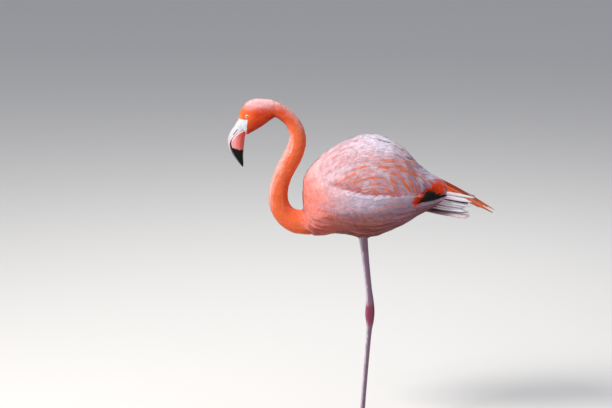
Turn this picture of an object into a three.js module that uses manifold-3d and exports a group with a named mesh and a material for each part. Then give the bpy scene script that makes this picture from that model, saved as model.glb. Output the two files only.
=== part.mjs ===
// American flamingo, life size, resting on one leg with its neck in an S and its bill pointing down.
// Millimetres. The bird faces -Y, its left side is +X, up is +Z, and its foot stands on Z = 0.
import * as THREE from 'three';
import { mergeVertices } from 'three/addons/utils/BufferGeometryUtils.js';
import Module from 'manifold-3d';

const wasm = await Module();
wasm.setup();

// ---------------------------------------------------------------- driving dimensions
const clearance = 0.3;            // thin cut left between two pieces that meet
const sideAxis = new THREE.Vector3(1, 0, 0);

// Plumage of trunk and folded wings: y, top, bottom, half width of each cross section.
const plumage = [
  [-146, 606, 606, 0],
  [-144, 642, 578, 25],
  [-137, 663, 528, 47],
  [-124, 682, 508, 64],
  [-100, 708, 504, 82],
  [-62, 733, 511, 95],
  [-20, 754, 506, 102],
  [24, 764, 499, 104],
  [62, 756, 513, 101],
  [105, 732, 531, 92],
  [150, 684, 560, 76],
  [188, 657, 580, 57],
  [214, 640, 598, 38],
  [228, 620, 620, 0],
];
const coreDepth = 17;             // how far the trunk lies below the folded wing
const wingRidge = 4;              // the wings stop this far from the midline of the back
const wingReach = 70;             // half the width of the slice a wing is cut from

// Folded wing from the side, y and z: the wrist, its lower edge to the tip, and the mantle's line.
const wing = {
  wrist: [-112, 676],
  wristBend: [-112, 654],
  elbow: [-88, 650],
  frontBend: [-30, 632],
  middle: [30, 624],
  rearBend: [110, 618],
  tip: [240, 612],
  overBack: 800,
  mantle: -40,
  mantleBend: [-84, 730],
};

// Corners of the cross sections: 2 is an ellipse, more is fuller.
const fullness = { plumage: 2.15, headAcross: 2.2, headUpright: 2.1, bill: 2.3 };

// Neck centreline from head to breast: y, z, half depth.
const neckLine = [
  [-240, 835, 16],
  [-216, 829, 19.6],
  [-193, 817, 18.8],
  [-169, 795, 18.6],
  [-157, 767, 21],
  [-157, 738, 23],
  [-167, 710, 24.5],
  [-182, 682, 24.5],
  [-197, 650, 24],
  [-205, 612, 25],
  [-201, 580, 26],
  [-184, 554, 27.5],
  [-158, 540, 31],
  [-122, 540, 34],
];
const neckFlatness = [0.84, 0.97]; // half width over half depth, at the head and at the breast
const neckCuts = [5, 9];           // stations where the neck is parted

// Head along an axis from nape to bill: distance, top, bottom, half width about that axis.
const headOrigin = new THREE.Vector3(0, -215, 830);
const headPitch = THREE.MathUtils.degToRad(30.6);
const headSections = [
  [-14, 4, 2, 0],
  [-8, 19, -14, 13],
  [4, 28, -20.5, 18],
  [20, 40, -22, 21.5],
  [38, 47, -24, 24],
  [54, 47.5, -25, 24.5],
  [70, 40.5, -25.2, 22],
  [82, 30.5, -25, 18.5],
  [91, 20.5, -24.3, 15],
  [95, 8, -18, 9],
  [97, -4, -4, 0],
];
const eyeRadius = 7;
const eyeAlong = 65.5;
const eyeAbove = 18.5;
const eyeAside = 16.4;

// Bill: centre of each cross section (y, z), half depth, half width, tilt of the section in degrees.
const billSections = [
  [-287, 789, 0, 0, 63],
  [-289, 787, 17, 11, 63],
  [-295, 780, 21, 14, 63],
  [-300.3, 769.8, 19.1, 14, 46],
  [-305.3, 759.4, 20.8, 13.8, 32],
  [-308.9, 748, 21.4, 13.5, 19],
  [-309.8, 737, 20.8, 13, 14],
  [-308.3, 725, 18.3, 12, 10],
  [-305.5, 711, 14, 10.2, 10],
  [-300.5, 698, 9.8, 7.8, 14],
  [-296, 687.5, 5.4, 5, 14],
  [-293.2, 681, 1.8, 2.2, 14],
  [-292.6, 679.6, 0, 0, 14],
];
// Where the two halves of the bill meet, seen from the side: y, z.
const gapeLine = [[-276, 779], [-289, 776], [-302, 769.5], [-313.5, 759], [-320, 749], [-321, 739],
  [-317.5, 728], [-310, 715.5], [-302.5, 702], [-296, 690], [-290, 676]];
// Corners well outside the bill that close its two sides off.
const billReach = 40;
const billFar = { culmen: [[-380, 676], [-380, 830], [-276, 830]], chin: [[-200, 676], [-200, 779]] };

// Legs from thigh to foot: x, y, z, half width, half depth. The left one stands, with its ankle
// half way down; the right one is folded up along the flank.
const legLines = {
  left: [[30, 0, 570, 15, 16], [26, 8, 505, 9.6, 11], [23, 14.6, 440, 8.2, 9], [20, 22, 372, 7.6, 8.2],
    [17.6, 25.6, 332, 8.8, 10.6], [17, 25.4, 306, 9.4, 12], [16, 25.2, 280, 8, 9.2],
    [15, 23.6, 262, 6.2, 6.8], [11.4, 18, 190, 5.6, 6.2], [7, 11, 95, 5.4, 6], [3.6, 6.4, 30, 6.2, 6.6],
    [3, 5, 8, 8, 8.6]],
  right: [[-50, 74, 616, 12, 13], [-58, 142, 594, 9, 10], [-65, 196, 577, 8.4, 9.4], [-67, 220, 568, 9.4, 11],
    [-69, 209, 556, 9, 10.2], [-70.6, 188, 555, 6.6, 7.2], [-77, 100, 558, 5.6, 6.2], [-82, 10, 560, 5.4, 6],
    [-84.5, -60, 561, 6.2, 6.6], [-85, -76, 561, 8, 8]],
};
const legCuts = { left: [4, 6], right: [2, 5] };    // stations where tibia and ankle end
const postures = {
  left: { spread: 1, curl: 0, hindHang: 0 },
  right: { spread: 0.4, curl: 46, hindHang: 70 },
};

// Toes: angle from the middle toe, length, half width at the root. The hind toe is short.
const toes = [
  { name: 'outer', angle: 34, length: 66, root: 6 },
  { name: 'middle', angle: 0, length: 74, root: 6.4 },
  { name: 'inner', angle: -34, length: 57, root: 5.6 },
  { name: 'hind', angle: 180, length: 16, root: 3.6 },
];
const toeRootHeight = 0.62;       // height of a toe's centreline over its half width
const toeDepth = 0.9;             // half depth of a toe over its half width
const clawLength = 10;
const hindClawShare = 0.5;        // length of the hind claw over the others
const clawDroop = 1.2;
const clawLift = 0.35;            // height of a claw's root over the toe's half width
const clawTaper = [0.42, 0.32, 0.13]; // half width over the toe's, from root to point
const hubRadii = [9.5, 10.5, 11]; // the joint from which the toes spring
const hubHeight = 8;              // its centre over the sole
const webThickness = 2.2;
const webHeel = 4;                // the web begins this far behind the joint
const webShare = 0.86;            // the web reaches this far along each front toe
const webNotch = 0.7;             // how far the web's margin is drawn back between two toes

// Long feathers behind the body: y, z, half height, half width of each bunch.
const rearFeathers = {
  tail: [[118, 590, 20, 42], [165, 577, 17, 44], [215, 566, 14, 40], [252, 561, 9, 32], [276, 560, 3, 20]],
  tertials: [[140, 618, 22, 14], [190, 608, 26, 14], [235, 596, 23, 11], [268, 586, 15, 7],
    [288, 580, 4, 2.5]],
  plume: [[176, 652, 6, 3.5], [212, 635, 9, 3.5], [250, 612, 9, 3], [292, 592, 8, 2.5], [322, 576, 5, 1.8],
    [335, 567, 1.2, 1]],
  primaries: [[130, 606, 3, 2.5], [148, 613, 8, 3.4], [172, 622, 13, 3.6], [198, 622, 9, 3.2],
    [222, 621, 2, 1.5]],
};
// How far each bunch lies from the midline, at its root and at its tip.
const rearAside = { tail: [0, 0], tertials: [38, 18], plume: [24, 15], primaries: [82, 38] };

// ---------------------------------------------------------------- solids
function toSolid(geometry) {
  geometry.deleteAttribute('normal');
  geometry.deleteAttribute('uv');
  const merged = mergeVertices(geometry, 1e-3);
  return new wasm.Manifold(new wasm.Mesh({
    numProp: 3,
    vertProperties: new Float32Array(merged.attributes.position.array),
    triVerts: new Uint32Array(merged.index.array),
  }));
}

function toGeometry(solid) {
  const mesh = solid.getMesh();
  const geometry = new THREE.BufferGeometry();
  geometry.setAttribute('position', new THREE.BufferAttribute(new Float32Array(mesh.vertProperties), 3));
  geometry.setIndex(new THREE.BufferAttribute(new Uint32Array(mesh.triVerts), 1));
  geometry.computeVertexNormals();
  return geometry;
}

function without(solid, ...others) {
  return others.reduce((left, other) => left.subtract(other), solid);
}

function largest(solid) {
  const pieces = solid.decompose();
  return pieces.reduce((best, piece) => (piece.volume() > best.volume() ? piece : best));
}

// A sphere whose rings are moved onto cross sections: place(share, angle) gives each point,
// and both ends draw in to one point.
function sectionedBody(rings, sides, place) {
  const geometry = new THREE.SphereGeometry(1, sides, rings);
  const position = geometry.attributes.position;
  for (let ring = 0; ring <= rings; ring += 1) {
    for (let side = 0; side <= sides; side += 1) {
      const point = place(ring / rings, (side % sides) / sides * 2 * Math.PI);
      position.setXYZ(ring * (sides + 1) + side, point.x, point.y, point.z);
    }
  }
  return toSolid(geometry);
}

// Values between rows of a table, smoothly; the first column is the parameter.
function smoothTable(rows) {
  const size = rows[0].length - 1;
  const keys = rows.map((row) => row[0]);
  const values = rows.flatMap((row) => row.slice(1));
  const curve = new THREE.CubicInterpolant(keys, values, size, new Float32Array(size));
  return (key) => Array.from(curve.evaluate(THREE.MathUtils.clamp(key, keys[0], keys.at(-1))));
}

// Rounded power curve: 2 gives an ellipse, more gives fuller corners.
function roundShare(value, power) {
  return Math.sign(value) * Math.abs(value) ** (2 / power);
}

// A limb swept along stations of x, y, z, half width, half depth, with flat ends.
function limb(stations, { grow = 0, rings = 8, sides = 10, from = 0, to = 1, endGap = 0 } = {}) {
  const path = new THREE.CatmullRomCurve3(stations.map(([x, y, z]) => new THREE.Vector3(x, y, z)));
  const last = stations.length - 1;
  const radii = smoothTable(stations.map((station, index) => [index / last, station[3], station[4]]));
  const cut = endGap / path.getLength();
  const start = from === 0 ? from : from + cut;
  const end = to === 1 ? to : to - cut;
  return sectionedBody(rings + 2, sides, (share, angle) => {
    const along = THREE.MathUtils.clamp((share * (rings + 2) - 1) / rings, 0, 1);
    const key = start + (end - start) * along;
    const cap = share === 0 || share === 1;
    const centre = path.getPoint(key);
    const tangent = path.getTangent(key);
    const side = sideAxis.clone().addScaledVector(tangent, -sideAxis.dot(tangent)).normalize();
    const depth = tangent.clone().cross(side);
    const [halfWidth, halfDepth] = radii(key);
    if (cap) {
      return centre;
    }
    return centre
      .addScaledVector(side, -Math.cos(angle) * (halfWidth + grow))
      .addScaledVector(depth, Math.sin(angle) * (halfDepth + grow));
  });
}

// A side outline in the Y-Z plane, extruded right across the bird.
function sideSlab(shape, halfWidth, centre = 0, curveSegments = 4) {
  const settings = { depth: 2 * halfWidth, bevelEnabled: false, curveSegments };
  const geometry = new THREE.ExtrudeGeometry(shape, settings);
  geometry.rotateX(Math.PI / 2);
  geometry.rotateZ(Math.PI / 2);
  geometry.translate(centre - halfWidth, 0, 0);
  return toSolid(geometry);
}

function sideShape(points, offset = 0) {
  const shape = new THREE.Shape();
  shape.moveTo(points[0][0], points[0][1] + offset);
  shape.splineThru(points.slice(1).map(([y, z]) => new THREE.Vector2(y, z + offset)));
  return shape;
}

function box(low, high) {
  const size = high.clone().sub(low);
  const geometry = new THREE.BoxGeometry(size.x, size.y, size.z);
  geometry.translate(low.x + size.x / 2, low.y + size.y / 2, low.z + size.z / 2);
  return toSolid(geometry);
}

// ---------------------------------------------------------------- trunk and wings
function plumageBody({ inset = 0, rings = 16, sides = 18 } = {}) {
  const sections = smoothTable(plumage);
  const front = plumage[0][0] + inset;
  const back = plumage.at(-1)[0] - inset;
  return sectionedBody(rings, sides, (share, angle) => {
    const along = (1 - Math.cos(share * Math.PI)) / 2;
    const y = front + (back - front) * along;
    const stretch = plumage[0][0] + (plumage.at(-1)[0] - plumage[0][0]) * along;
    const [top, bottom, halfWidth] = sections(stretch);
    if (share === 0 || share === 1) {
      return new THREE.Vector3(0, y, (top + bottom) / 2);
    }
    const middle = (top + bottom) / 2;
    const halfHeight = Math.max((top - bottom) / 2 - inset, 0.5);
    const width = Math.max(halfWidth - inset, 0.5);
    return new THREE.Vector3(
      -roundShare(Math.cos(angle), fullness.plumage) * width,
      y,
      middle - roundShare(Math.sin(angle), fullness.plumage) * halfHeight,
    );
  });
}

// Side view of a folded wing: from the wrist along its lower edge to the tip, then over the back.
// A growing inset draws the lower and front edges in.
function wingShape(inset) {
  const under = ([y, z]) => [y, z + inset];
  const front = [wing.wrist[0] + inset, wing.wrist[1]];
  const shape = new THREE.Shape();
  shape.moveTo(...front);
  shape.quadraticCurveTo(wing.wristBend[0] + inset, wing.wristBend[1] + inset, ...under(wing.elbow));
  shape.quadraticCurveTo(...under(wing.frontBend), ...under(wing.middle));
  shape.quadraticCurveTo(...under(wing.rearBend), ...under(wing.tip));
  shape.lineTo(wing.tip[0], wing.overBack);
  shape.lineTo(wing.mantle, wing.overBack);
  shape.quadraticCurveTo(wing.mantleBend[0] + inset, wing.mantleBend[1], ...front);
  return shape;
}

// A narrow strip of the mantle stays on the trunk between the two wings.
function trunk(cutters) {
  const outer = sideSlab(wingShape(-clearance / 2), wingReach, wingReach + wingRidge - clearance);
  const shell = without(plumageBody(), outer, outer.mirror([1, 0, 0]));
  const core = plumageBody({ inset: coreDepth });
  return largest(without(shell.add(core), ...cutters));
}

function foldedWing(side, cutters) {
  const across = sideSlab(wingShape(clearance / 2), wingReach, side * (wingReach + wingRidge));
  const core = plumageBody({ inset: coreDepth - clearance });
  return largest(without(plumageBody().intersect(across), core, ...cutters));
}

// ---------------------------------------------------------------- rear feathers
// A flat bunch of long feathers on one side, or on the midline.
function featherBunch(name, side = 0, grow = 0) {
  const stations = rearFeathers[name];
  const ends = [stations[0][0], stations.at(-1)[0]];
  const line = stations.map(([y, z, height, width]) => [
    side * THREE.MathUtils.mapLinear(y, ...ends, ...rearAside[name]), y, z, width, height,
  ]);
  return limb(line, { grow, rings: 6, sides: name === 'tail' ? 12 : 8 });
}

// ---------------------------------------------------------------- head and bill
function headPoint(side, along, above) {
  return new THREE.Vector3(
    side,
    headOrigin.y - along * Math.cos(headPitch) - above * Math.sin(headPitch),
    headOrigin.z - along * Math.sin(headPitch) + above * Math.cos(headPitch),
  );
}

function headBody(grow = 0) {
  const sections = smoothTable(headSections);
  const first = headSections[0][0];
  const last = headSections.at(-1)[0];
  return sectionedBody(12, 14, (share, angle) => {
    const along = first + (last - first) * (1 - Math.cos(share * Math.PI)) / 2;
    const [top, bottom, halfWidth] = sections(along);
    const middle = (top + bottom) / 2;
    if (share === 0 || share === 1) {
      return headPoint(0, along + (share * 2 - 1) * grow, middle);
    }
    return headPoint(
      roundShare(Math.cos(angle), fullness.headAcross) * (halfWidth + grow),
      along,
      middle - roundShare(Math.sin(angle), fullness.headUpright) * ((top - bottom) / 2 + grow),
    );
  });
}

function eyeCentre(side) {
  return headPoint(side * eyeAside, eyeAlong, eyeAbove);
}

function eyeball(side, grow = 0) {
  const geometry = new THREE.SphereGeometry(eyeRadius + grow, 12, 7);
  geometry.rotateZ(Math.PI / 2);
  const centre = eyeCentre(side);
  geometry.translate(centre.x, centre.y, centre.z);
  return toSolid(geometry);
}

function billBody(grow = 0) {
  const last = billSections.length - 1;
  const sections = smoothTable(billSections.map((row, index) => [index / last, ...row]));
  return sectionedBody(16, 12, (share, angle) => {
    const [y, z, depth, width, tilt] = sections(share);
    const ends = share === 0 || share === 1;
    const turn = THREE.MathUtils.degToRad(tilt);
    const reach = ends ? 0 : Math.sin(angle) * (Math.max(depth, 0.4) + grow);
    const across = ends ? 0 : roundShare(Math.cos(angle), fullness.bill) * (Math.max(width, 0.4) + grow);
    return new THREE.Vector3(-across, y - Math.cos(turn) * reach, z + Math.sin(turn) * reach);
  });
}

// Everything on the chin side of the line where the bill opens, or on the culmen side.
function billHalf(upper) {
  const shift = clearance / 2;
  const line = gapeLine.map(([y, z]) => [y + (upper ? -shift : shift), z + (upper ? shift : -shift)]);
  const shape = sideShape(line);
  const far = upper ? billFar.culmen : billFar.chin;
  far.forEach(([y, z]) => shape.lineTo(y, z));
  shape.closePath();
  return sideSlab(shape, billReach, 0, 2);
}

// ---------------------------------------------------------------- legs and feet
// Frame of a foot: where its toes spring from, and its forward, side and up directions.
// The side direction points to the outer toe.
function footFrame(origin, heading, back, hand) {
  const forward = heading.clone().normalize();
  const side = back.clone().cross(forward).normalize();
  const up = forward.clone().cross(side);
  return { origin, forward, side: side.multiplyScalar(hand), up };
}

const footFrames = {
  left: footFrame(new THREE.Vector3(3, 5, 0), new THREE.Vector3(-0.04, -1, 0), new THREE.Vector3(0, 0, 1), 1),
  right: footFrame(
    new THREE.Vector3(-85, -78, 560),
    new THREE.Vector3(0.12, -0.97, -0.14),
    new THREE.Vector3(-0.6, -0.5, 0.6),
    -1,
  ),
};

function footPoint(frame, ahead, aside, height) {
  return frame.origin.clone()
    .addScaledVector(frame.forward, ahead)
    .addScaledVector(frame.side, aside)
    .addScaledVector(frame.up, height);
}

// Centreline point of a toe, share of its length from the root. A posture says how far the front
// toes spread and curl, and how far the hind toe hangs.
function toePoint(frame, posture, toe, share, height) {
  const reach = toe.length * share;
  if (toe.name === 'hind') {
    const hang = THREE.MathUtils.degToRad(posture.hindHang);
    return footPoint(frame, -Math.cos(hang) * reach, 0, height - Math.sin(hang) * reach);
  }
  const turn = THREE.MathUtils.degToRad(toe.angle) * posture.spread;
  const bend = Math.max(THREE.MathUtils.degToRad(posture.curl), 1e-3);
  const ahead = toe.length / bend * Math.sin(bend * share);
  const drop = toe.length / bend * (1 - Math.cos(bend * share));
  return footPoint(frame, Math.cos(turn) * ahead, Math.sin(turn) * ahead, height - drop);
}

// Radii swell at each joint of the toe.
const toeSwelling = [1, 0.86, 0.98, 0.74, 0.84, 0.56];

function toeBody(frame, posture, toe, grow) {
  const stations = toeSwelling.map((swelling, index) => {
    const radius = toe.root * swelling;
    const share = index / (toeSwelling.length - 1);
    const point = toePoint(frame, posture, toe, share, radius * toeRootHeight);
    return [point.x, point.y, point.z, radius, radius * toeDepth];
  });
  return limb(stations, { grow, rings: 5, sides: 8 });
}

// Web between the front toes, its margin drawn back from toe to toe.
function webShape(frame, posture) {
  const fronts = toes.filter((toe) => toe.name !== 'hind');
  const tips = fronts.map((toe) => toePoint(frame, posture, toe, webShare, 0));
  const shape = new THREE.Shape();
  shape.moveTo(frame.origin.x, frame.origin.y + webHeel);
  shape.lineTo(tips[0].x, tips[0].y);
  tips.slice(1).forEach((tip, index) => {
    const middle = tips[index].clone().add(tip).multiplyScalar(0.5);
    const drawn = frame.origin.clone().lerp(middle, webNotch);
    shape.quadraticCurveTo(drawn.x, drawn.y, tip.x, tip.y);
  });
  shape.closePath();
  return shape;
}

function hub(frame, height, grow) {
  const geometry = new THREE.SphereGeometry(1, 10, 7);
  geometry.scale(...hubRadii.map((radius) => radius + grow));
  geometry.translate(frame.origin.x, frame.origin.y, frame.origin.z + height);
  return toSolid(geometry);
}

function joinedToes(frame, posture, start, grow) {
  return toes.reduce((foot, toe) => foot.add(toeBody(frame, posture, toe, grow)), start);
}

const belowFloor = box(new THREE.Vector3(-200, -200, -60), new THREE.Vector3(200, 200, 0));

function standingFoot(grow = 0) {
  const frame = footFrames.left;
  const settings = { depth: webThickness + grow, bevelEnabled: false, curveSegments: 5 };
  const web = toSolid(new THREE.ExtrudeGeometry(webShape(frame, postures.left), settings));
  const start = web.add(hub(frame, hubHeight, grow));
  return joinedToes(frame, postures.left, start, grow).subtract(belowFloor);
}

// Toes of the folded foot lie close together, with the web furled between them.
function foldedFoot(grow = 0) {
  return joinedToes(footFrames.right, postures.right, hub(footFrames.right, 0, grow), grow);
}

function claw(label, toe, grow = 0) {
  const frame = footFrames[label];
  const posture = postures[label];
  const lift = toe.root * clawLift;
  const root = toePoint(frame, posture, toe, 1, lift);
  const heading = root.clone().sub(toePoint(frame, posture, toe, 0.96, lift)).normalize();
  const size = toe.name === 'hind' ? hindClawShare : 1;
  const stations = clawTaper.map((taper, index) => {
    const share = index / (clawTaper.length - 1);
    const point = root.clone()
      .addScaledVector(heading, share * clawLength * size + clearance)
      .addScaledVector(frame.up, -share * share * clawDroop);
    return [point.x, point.y, point.z, toe.root * taper, toe.root * taper];
  });
  return limb(stations, { grow, rings: 3, sides: 5 }).subtract(belowFloor);
}

// ---------------------------------------------------------------- assembly
const flamingo = new THREE.Group();

function addPart(name, solid, colour, roughness = 0.8) {
  const material = new THREE.MeshStandardMaterial({ color: colour, roughness, metalness: 0 });
  const mesh = new THREE.Mesh(toGeometry(solid), material);
  mesh.name = name;
  flamingo.add(mesh);
}

const neckStations = neckLine.map(([y, z, depth], index) => {
  const flatness = THREE.MathUtils.lerp(...neckFlatness, index / (neckLine.length - 1));
  return [0, y, z, depth * flatness, depth];
});
const grownPlumage = plumageBody({ inset: -clearance });
const head = headBody();
const grownHead = headBody(clearance);
const eyes = { left: eyeball(1), right: eyeball(-1) };
const bill = billBody();

const tail = featherBunch('tail').subtract(grownPlumage);
const grownTail = featherBunch('tail', 0, clearance);

addPart('head', without(head, billBody(clearance), eyeball(1, clearance), eyeball(-1, clearance)), '#e8663c');
addPart('bill_upper', bill.intersect(billHalf(true)), '#efe3d6', 0.35);
addPart('bill_lower', bill.intersect(billHalf(false)), '#e9a79c', 0.35);
addPart('eye_left', eyes.left, '#e8d98a', 0.1);
addPart('eye_right', eyes.right, '#e8d98a', 0.1);

const [upperCut, lowerCut] = neckCuts.map((station) => station / (neckLine.length - 1));
const neckParts = [
  ['neck_upper', 0, upperCut, 8],
  ['neck_middle', upperCut, lowerCut, 6],
  ['neck_lower', lowerCut, 1, 8],
];
neckParts.forEach(([name, from, to, rings]) => {
  const length = limb(neckStations, { from, to, rings, sides: 14, endGap: clearance / 2 });
  addPart(name, largest(without(length, grownHead, grownPlumage)), '#ee7f57');
});

const sides = { left: 1, right: -1 };
function legPart(label, from, to, { grow = 0, rings = 8 } = {}) {
  return limb(legLines[label], { from, to, rings, grow, endGap: clearance / 2 - grow });
}

const foldedCutters = [
  legPart('right', 0.1, 1, { grow: clearance, rings: 12 }),
  foldedFoot(clearance),
  ...toes.map((toe) => claw('right', toe, clearance)),
];
const primaryCutters = Object.values(sides).map((side) => featherBunch('primaries', side, clearance));

addPart('trunk', trunk([...foldedCutters, ...primaryCutters]), '#eeb4a4');
Object.entries(sides).forEach(([label, side]) => {
  const primaries = featherBunch('primaries', side);
  const grownPrimaries = featherBunch('primaries', side, clearance);
  const grownPlume = featherBunch('plume', side, clearance);
  const cutters = [grownPlumage, grownPrimaries, grownPlume, grownTail];
  const tertials = without(featherBunch('tertials', side), ...cutters);
  addPart(`wing_${label}`, foldedWing(side, [grownPrimaries]), '#f0d2d0');
  addPart(`primaries_${label}`, primaries, '#1c1718');
  addPart(`tertials_${label}`, largest(tertials), '#f3dcdc');
  addPart(`plume_${label}`, largest(featherBunch('plume', side).subtract(grownPlumage)), '#f07a4e');
});
addPart('tail', largest(tail), '#e9a3a0');

const feet = { left: standingFoot(), right: foldedFoot() };
const grownFeet = { left: standingFoot(clearance), right: foldedFoot(clearance) };
Object.keys(legLines).forEach((label) => {
  const [knee, hock] = legCuts[label].map((station) => station / (legLines[label].length - 1));
  const tibia = legPart(label, 0, knee);
  const grownTibia = legPart(label, 0, knee, { grow: clearance });
  const grownAnkle = legPart(label, knee, hock, { grow: clearance });
  const ankle = legPart(label, knee, hock).subtract(grownTibia);
  const tarsus = without(legPart(label, hock, 1), grownFeet[label], grownTibia, grownAnkle, ankle);
  addPart(`tibia_${label}`, largest(tibia.subtract(grownPlumage)), '#c08ca0');
  addPart(`ankle_${label}`, largest(ankle), '#a03a58');
  addPart(`tarsus_${label}`, largest(tarsus), '#c08ca0');
  addPart(`foot_${label}`, feet[label], '#c08ca0');
});
Object.keys(legLines).forEach((label) => {
  toes.forEach((toe) => addPart(`claw_${label}_${toe.name}`, claw(label, toe), '#2a2224', 0.4));
});

// The origin lies on the floor, under the middle of the bird's box.
const extent = new THREE.Box3().setFromObject(flamingo);
const middle = extent.getCenter(new THREE.Vector3());
flamingo.position.set(-middle.x, -middle.y, -extent.min.z);
const model = new THREE.Group();
model.add(flamingo);

export default model;
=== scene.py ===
import heapq
import math

import bpy
import numpy as np
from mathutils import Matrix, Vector, noise
from mathutils.bvhtree import BVHTree
from mathutils.kdtree import KDTree


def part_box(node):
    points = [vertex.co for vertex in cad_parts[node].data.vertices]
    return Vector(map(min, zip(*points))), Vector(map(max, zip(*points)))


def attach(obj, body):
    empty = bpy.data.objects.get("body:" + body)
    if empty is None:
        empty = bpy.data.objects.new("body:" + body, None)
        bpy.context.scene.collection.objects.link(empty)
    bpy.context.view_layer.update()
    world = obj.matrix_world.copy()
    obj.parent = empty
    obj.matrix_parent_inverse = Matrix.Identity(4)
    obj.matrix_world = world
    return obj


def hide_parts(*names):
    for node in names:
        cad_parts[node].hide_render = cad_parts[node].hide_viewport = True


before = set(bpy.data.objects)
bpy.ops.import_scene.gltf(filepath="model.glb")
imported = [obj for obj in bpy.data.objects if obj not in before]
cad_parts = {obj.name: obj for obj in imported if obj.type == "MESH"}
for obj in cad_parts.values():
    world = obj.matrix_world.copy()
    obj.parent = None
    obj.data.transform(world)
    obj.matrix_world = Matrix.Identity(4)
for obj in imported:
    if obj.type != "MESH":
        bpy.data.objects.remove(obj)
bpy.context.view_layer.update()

mm = 0.001
mergeGap = 0.001 * mm                # corners of a CAD solid this close are one
sides = {"left": 1, "right": -1}     # the bird's own left lies towards +X
rng = np.random.default_rng(1758)


def boxOf(node):
    # lowest and highest corner of a node
    return np.array(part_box(node))


trunkLow, trunkHigh = boxOf("trunk")
trunkSize = trunkHigh - trunkLow
eyeSpots = [boxOf("eye_" + label).mean(axis=0) for label in sides]
ankleSpots = [boxOf("ankle_" + label).mean(axis=0) for label in sides]


def linear(hexColour):
    # an sRGB hex colour as linear values
    parts = [int(hexColour[i:i + 2], 16) / 255 for i in (1, 3, 5)]
    return np.array([p / 12.92 if p <= 0.04045 else ((p + 0.055) / 1.055) ** 2.4 for p in parts])


def ramp(values, low, high):
    # 0 below low, 1 above high, smooth between
    share = np.clip((values - low) / (high - low), 0, 1)
    return share * share * (3 - 2 * share)


def mixed(under, over, share):
    # moves each row from one set of values towards another by its own share
    return under + (over - under) * np.clip(share, 0, 1)[:, None]


def layered(palette, ground, count, *layers):
    # a ground colour for every point, with further colours laid over it, each by its own amount
    colours = np.tile(linear(palette[ground]), (count, 1))
    for name, amount in layers:
        colours = mixed(colours, linear(palette[name]), amount)
    return colours


def unit(vectors):
    return vectors / np.maximum(np.linalg.norm(vectors, axis=-1, keepdims=True), 1e-12)


def across(vectors, normals):
    # what is left of each vector along the surface, at length one
    return unit(vectors - normals * np.sum(vectors * normals, axis=1, keepdims=True))


def noiseAt(points, perMetre):
    return np.array([noise.noise(Vector(point) * perMetre) for point in points.tolist()])


def distanceTo(spots, points):
    # distance from each point to the nearest spot
    return np.min([np.linalg.norm(points - spot, axis=1) for spot in spots], axis=0)


def pointTree(points):
    tree = KDTree(len(points))
    for number, point in enumerate(points):
        tree.insert(point, number)
    tree.balance()
    return tree


def focus(*pieces):
    for thing in list(bpy.context.selected_objects):
        thing.select_set(False)
    for piece in pieces:
        piece.select_set(True)
    bpy.context.view_layer.objects.active = pieces[0]


def finishWith(piece, kind, **settings):
    # adds one modifier and applies it
    focus(piece)
    modifier = piece.modifiers.new(kind.lower(), kind)
    for key, value in settings.items():
        setattr(modifier, key, value)
    bpy.ops.object.modifier_apply(modifier=modifier.name)


def placeObject(name, data):
    thing = bpy.data.objects.new(name, data)
    bpy.context.scene.collection.objects.link(thing)
    return thing


def readPoints(mesh, what="co"):
    # the places of a mesh's vertices, or their normals
    flat = np.empty(len(mesh.vertices) * 3)
    mesh.vertices.foreach_get(what, flat)
    return flat.reshape(-1, 3)


def moveTo(mesh, points):
    mesh.vertices.foreach_set("co", points.ravel())
    mesh.update()


def paint(mesh, colours, name="tint"):
    # a colour for every vertex, which the materials read by name
    layer = mesh.color_attributes.new(name, "FLOAT_COLOR", "POINT")
    layer.data.foreach_set("color", np.column_stack([colours, np.ones(len(colours))]).ravel())


def dress(piece, material):
    piece.data.materials.clear()
    piece.data.materials.append(material)
    piece.data.shade_smooth()


def joinAs(name, copies):
    focus(*copies)
    if len(copies) > 1:
        bpy.ops.object.join()
    piece = bpy.context.view_layer.objects.active
    piece.name = name
    return piece


def castFrom(name, nodes, grow=0):
    # one object made of merged copies of CAD nodes, grown a little along their normals
    piece = joinAs(name, [placeObject(name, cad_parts[node].data.copy()) for node in nodes])
    bpy.ops.object.mode_set(mode="EDIT")
    bpy.ops.mesh.select_all(action="SELECT")
    bpy.ops.mesh.remove_doubles(threshold=mergeGap)
    bpy.ops.object.mode_set(mode="OBJECT")
    piece.data.materials.clear()
    if grow:
        finishWith(piece, "DISPLACE", strength=grow, mid_level=0)
    return piece


def addNode(tree, kind, settings=None, **links):
    # one node with its settings; values are set and sockets are linked by name, or by number after in
    node = tree.nodes.new(kind)
    for key, value in (settings or {}).items():
        setattr(node, key, value)
    for key, value in links.items():
        socket = node.inputs[int(key[2:]) if key.startswith("in") else key.replace("_", " ")]
        if isinstance(value, bpy.types.NodeSocket):
            tree.links.new(value, socket)
        else:
            socket.default_value = value
    return node


def startMaterial(name):
    material = bpy.data.materials.new(name)
    material.use_nodes = True
    tree = material.node_tree
    tree.nodes.clear()
    return material, tree


def closeMaterial(tree, **sockets):
    shader = addNode(tree, "ShaderNodeBsdfPrincipled", None, **sockets)
    addNode(tree, "ShaderNodeOutputMaterial", None, Surface=shader.outputs["BSDF"])


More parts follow.
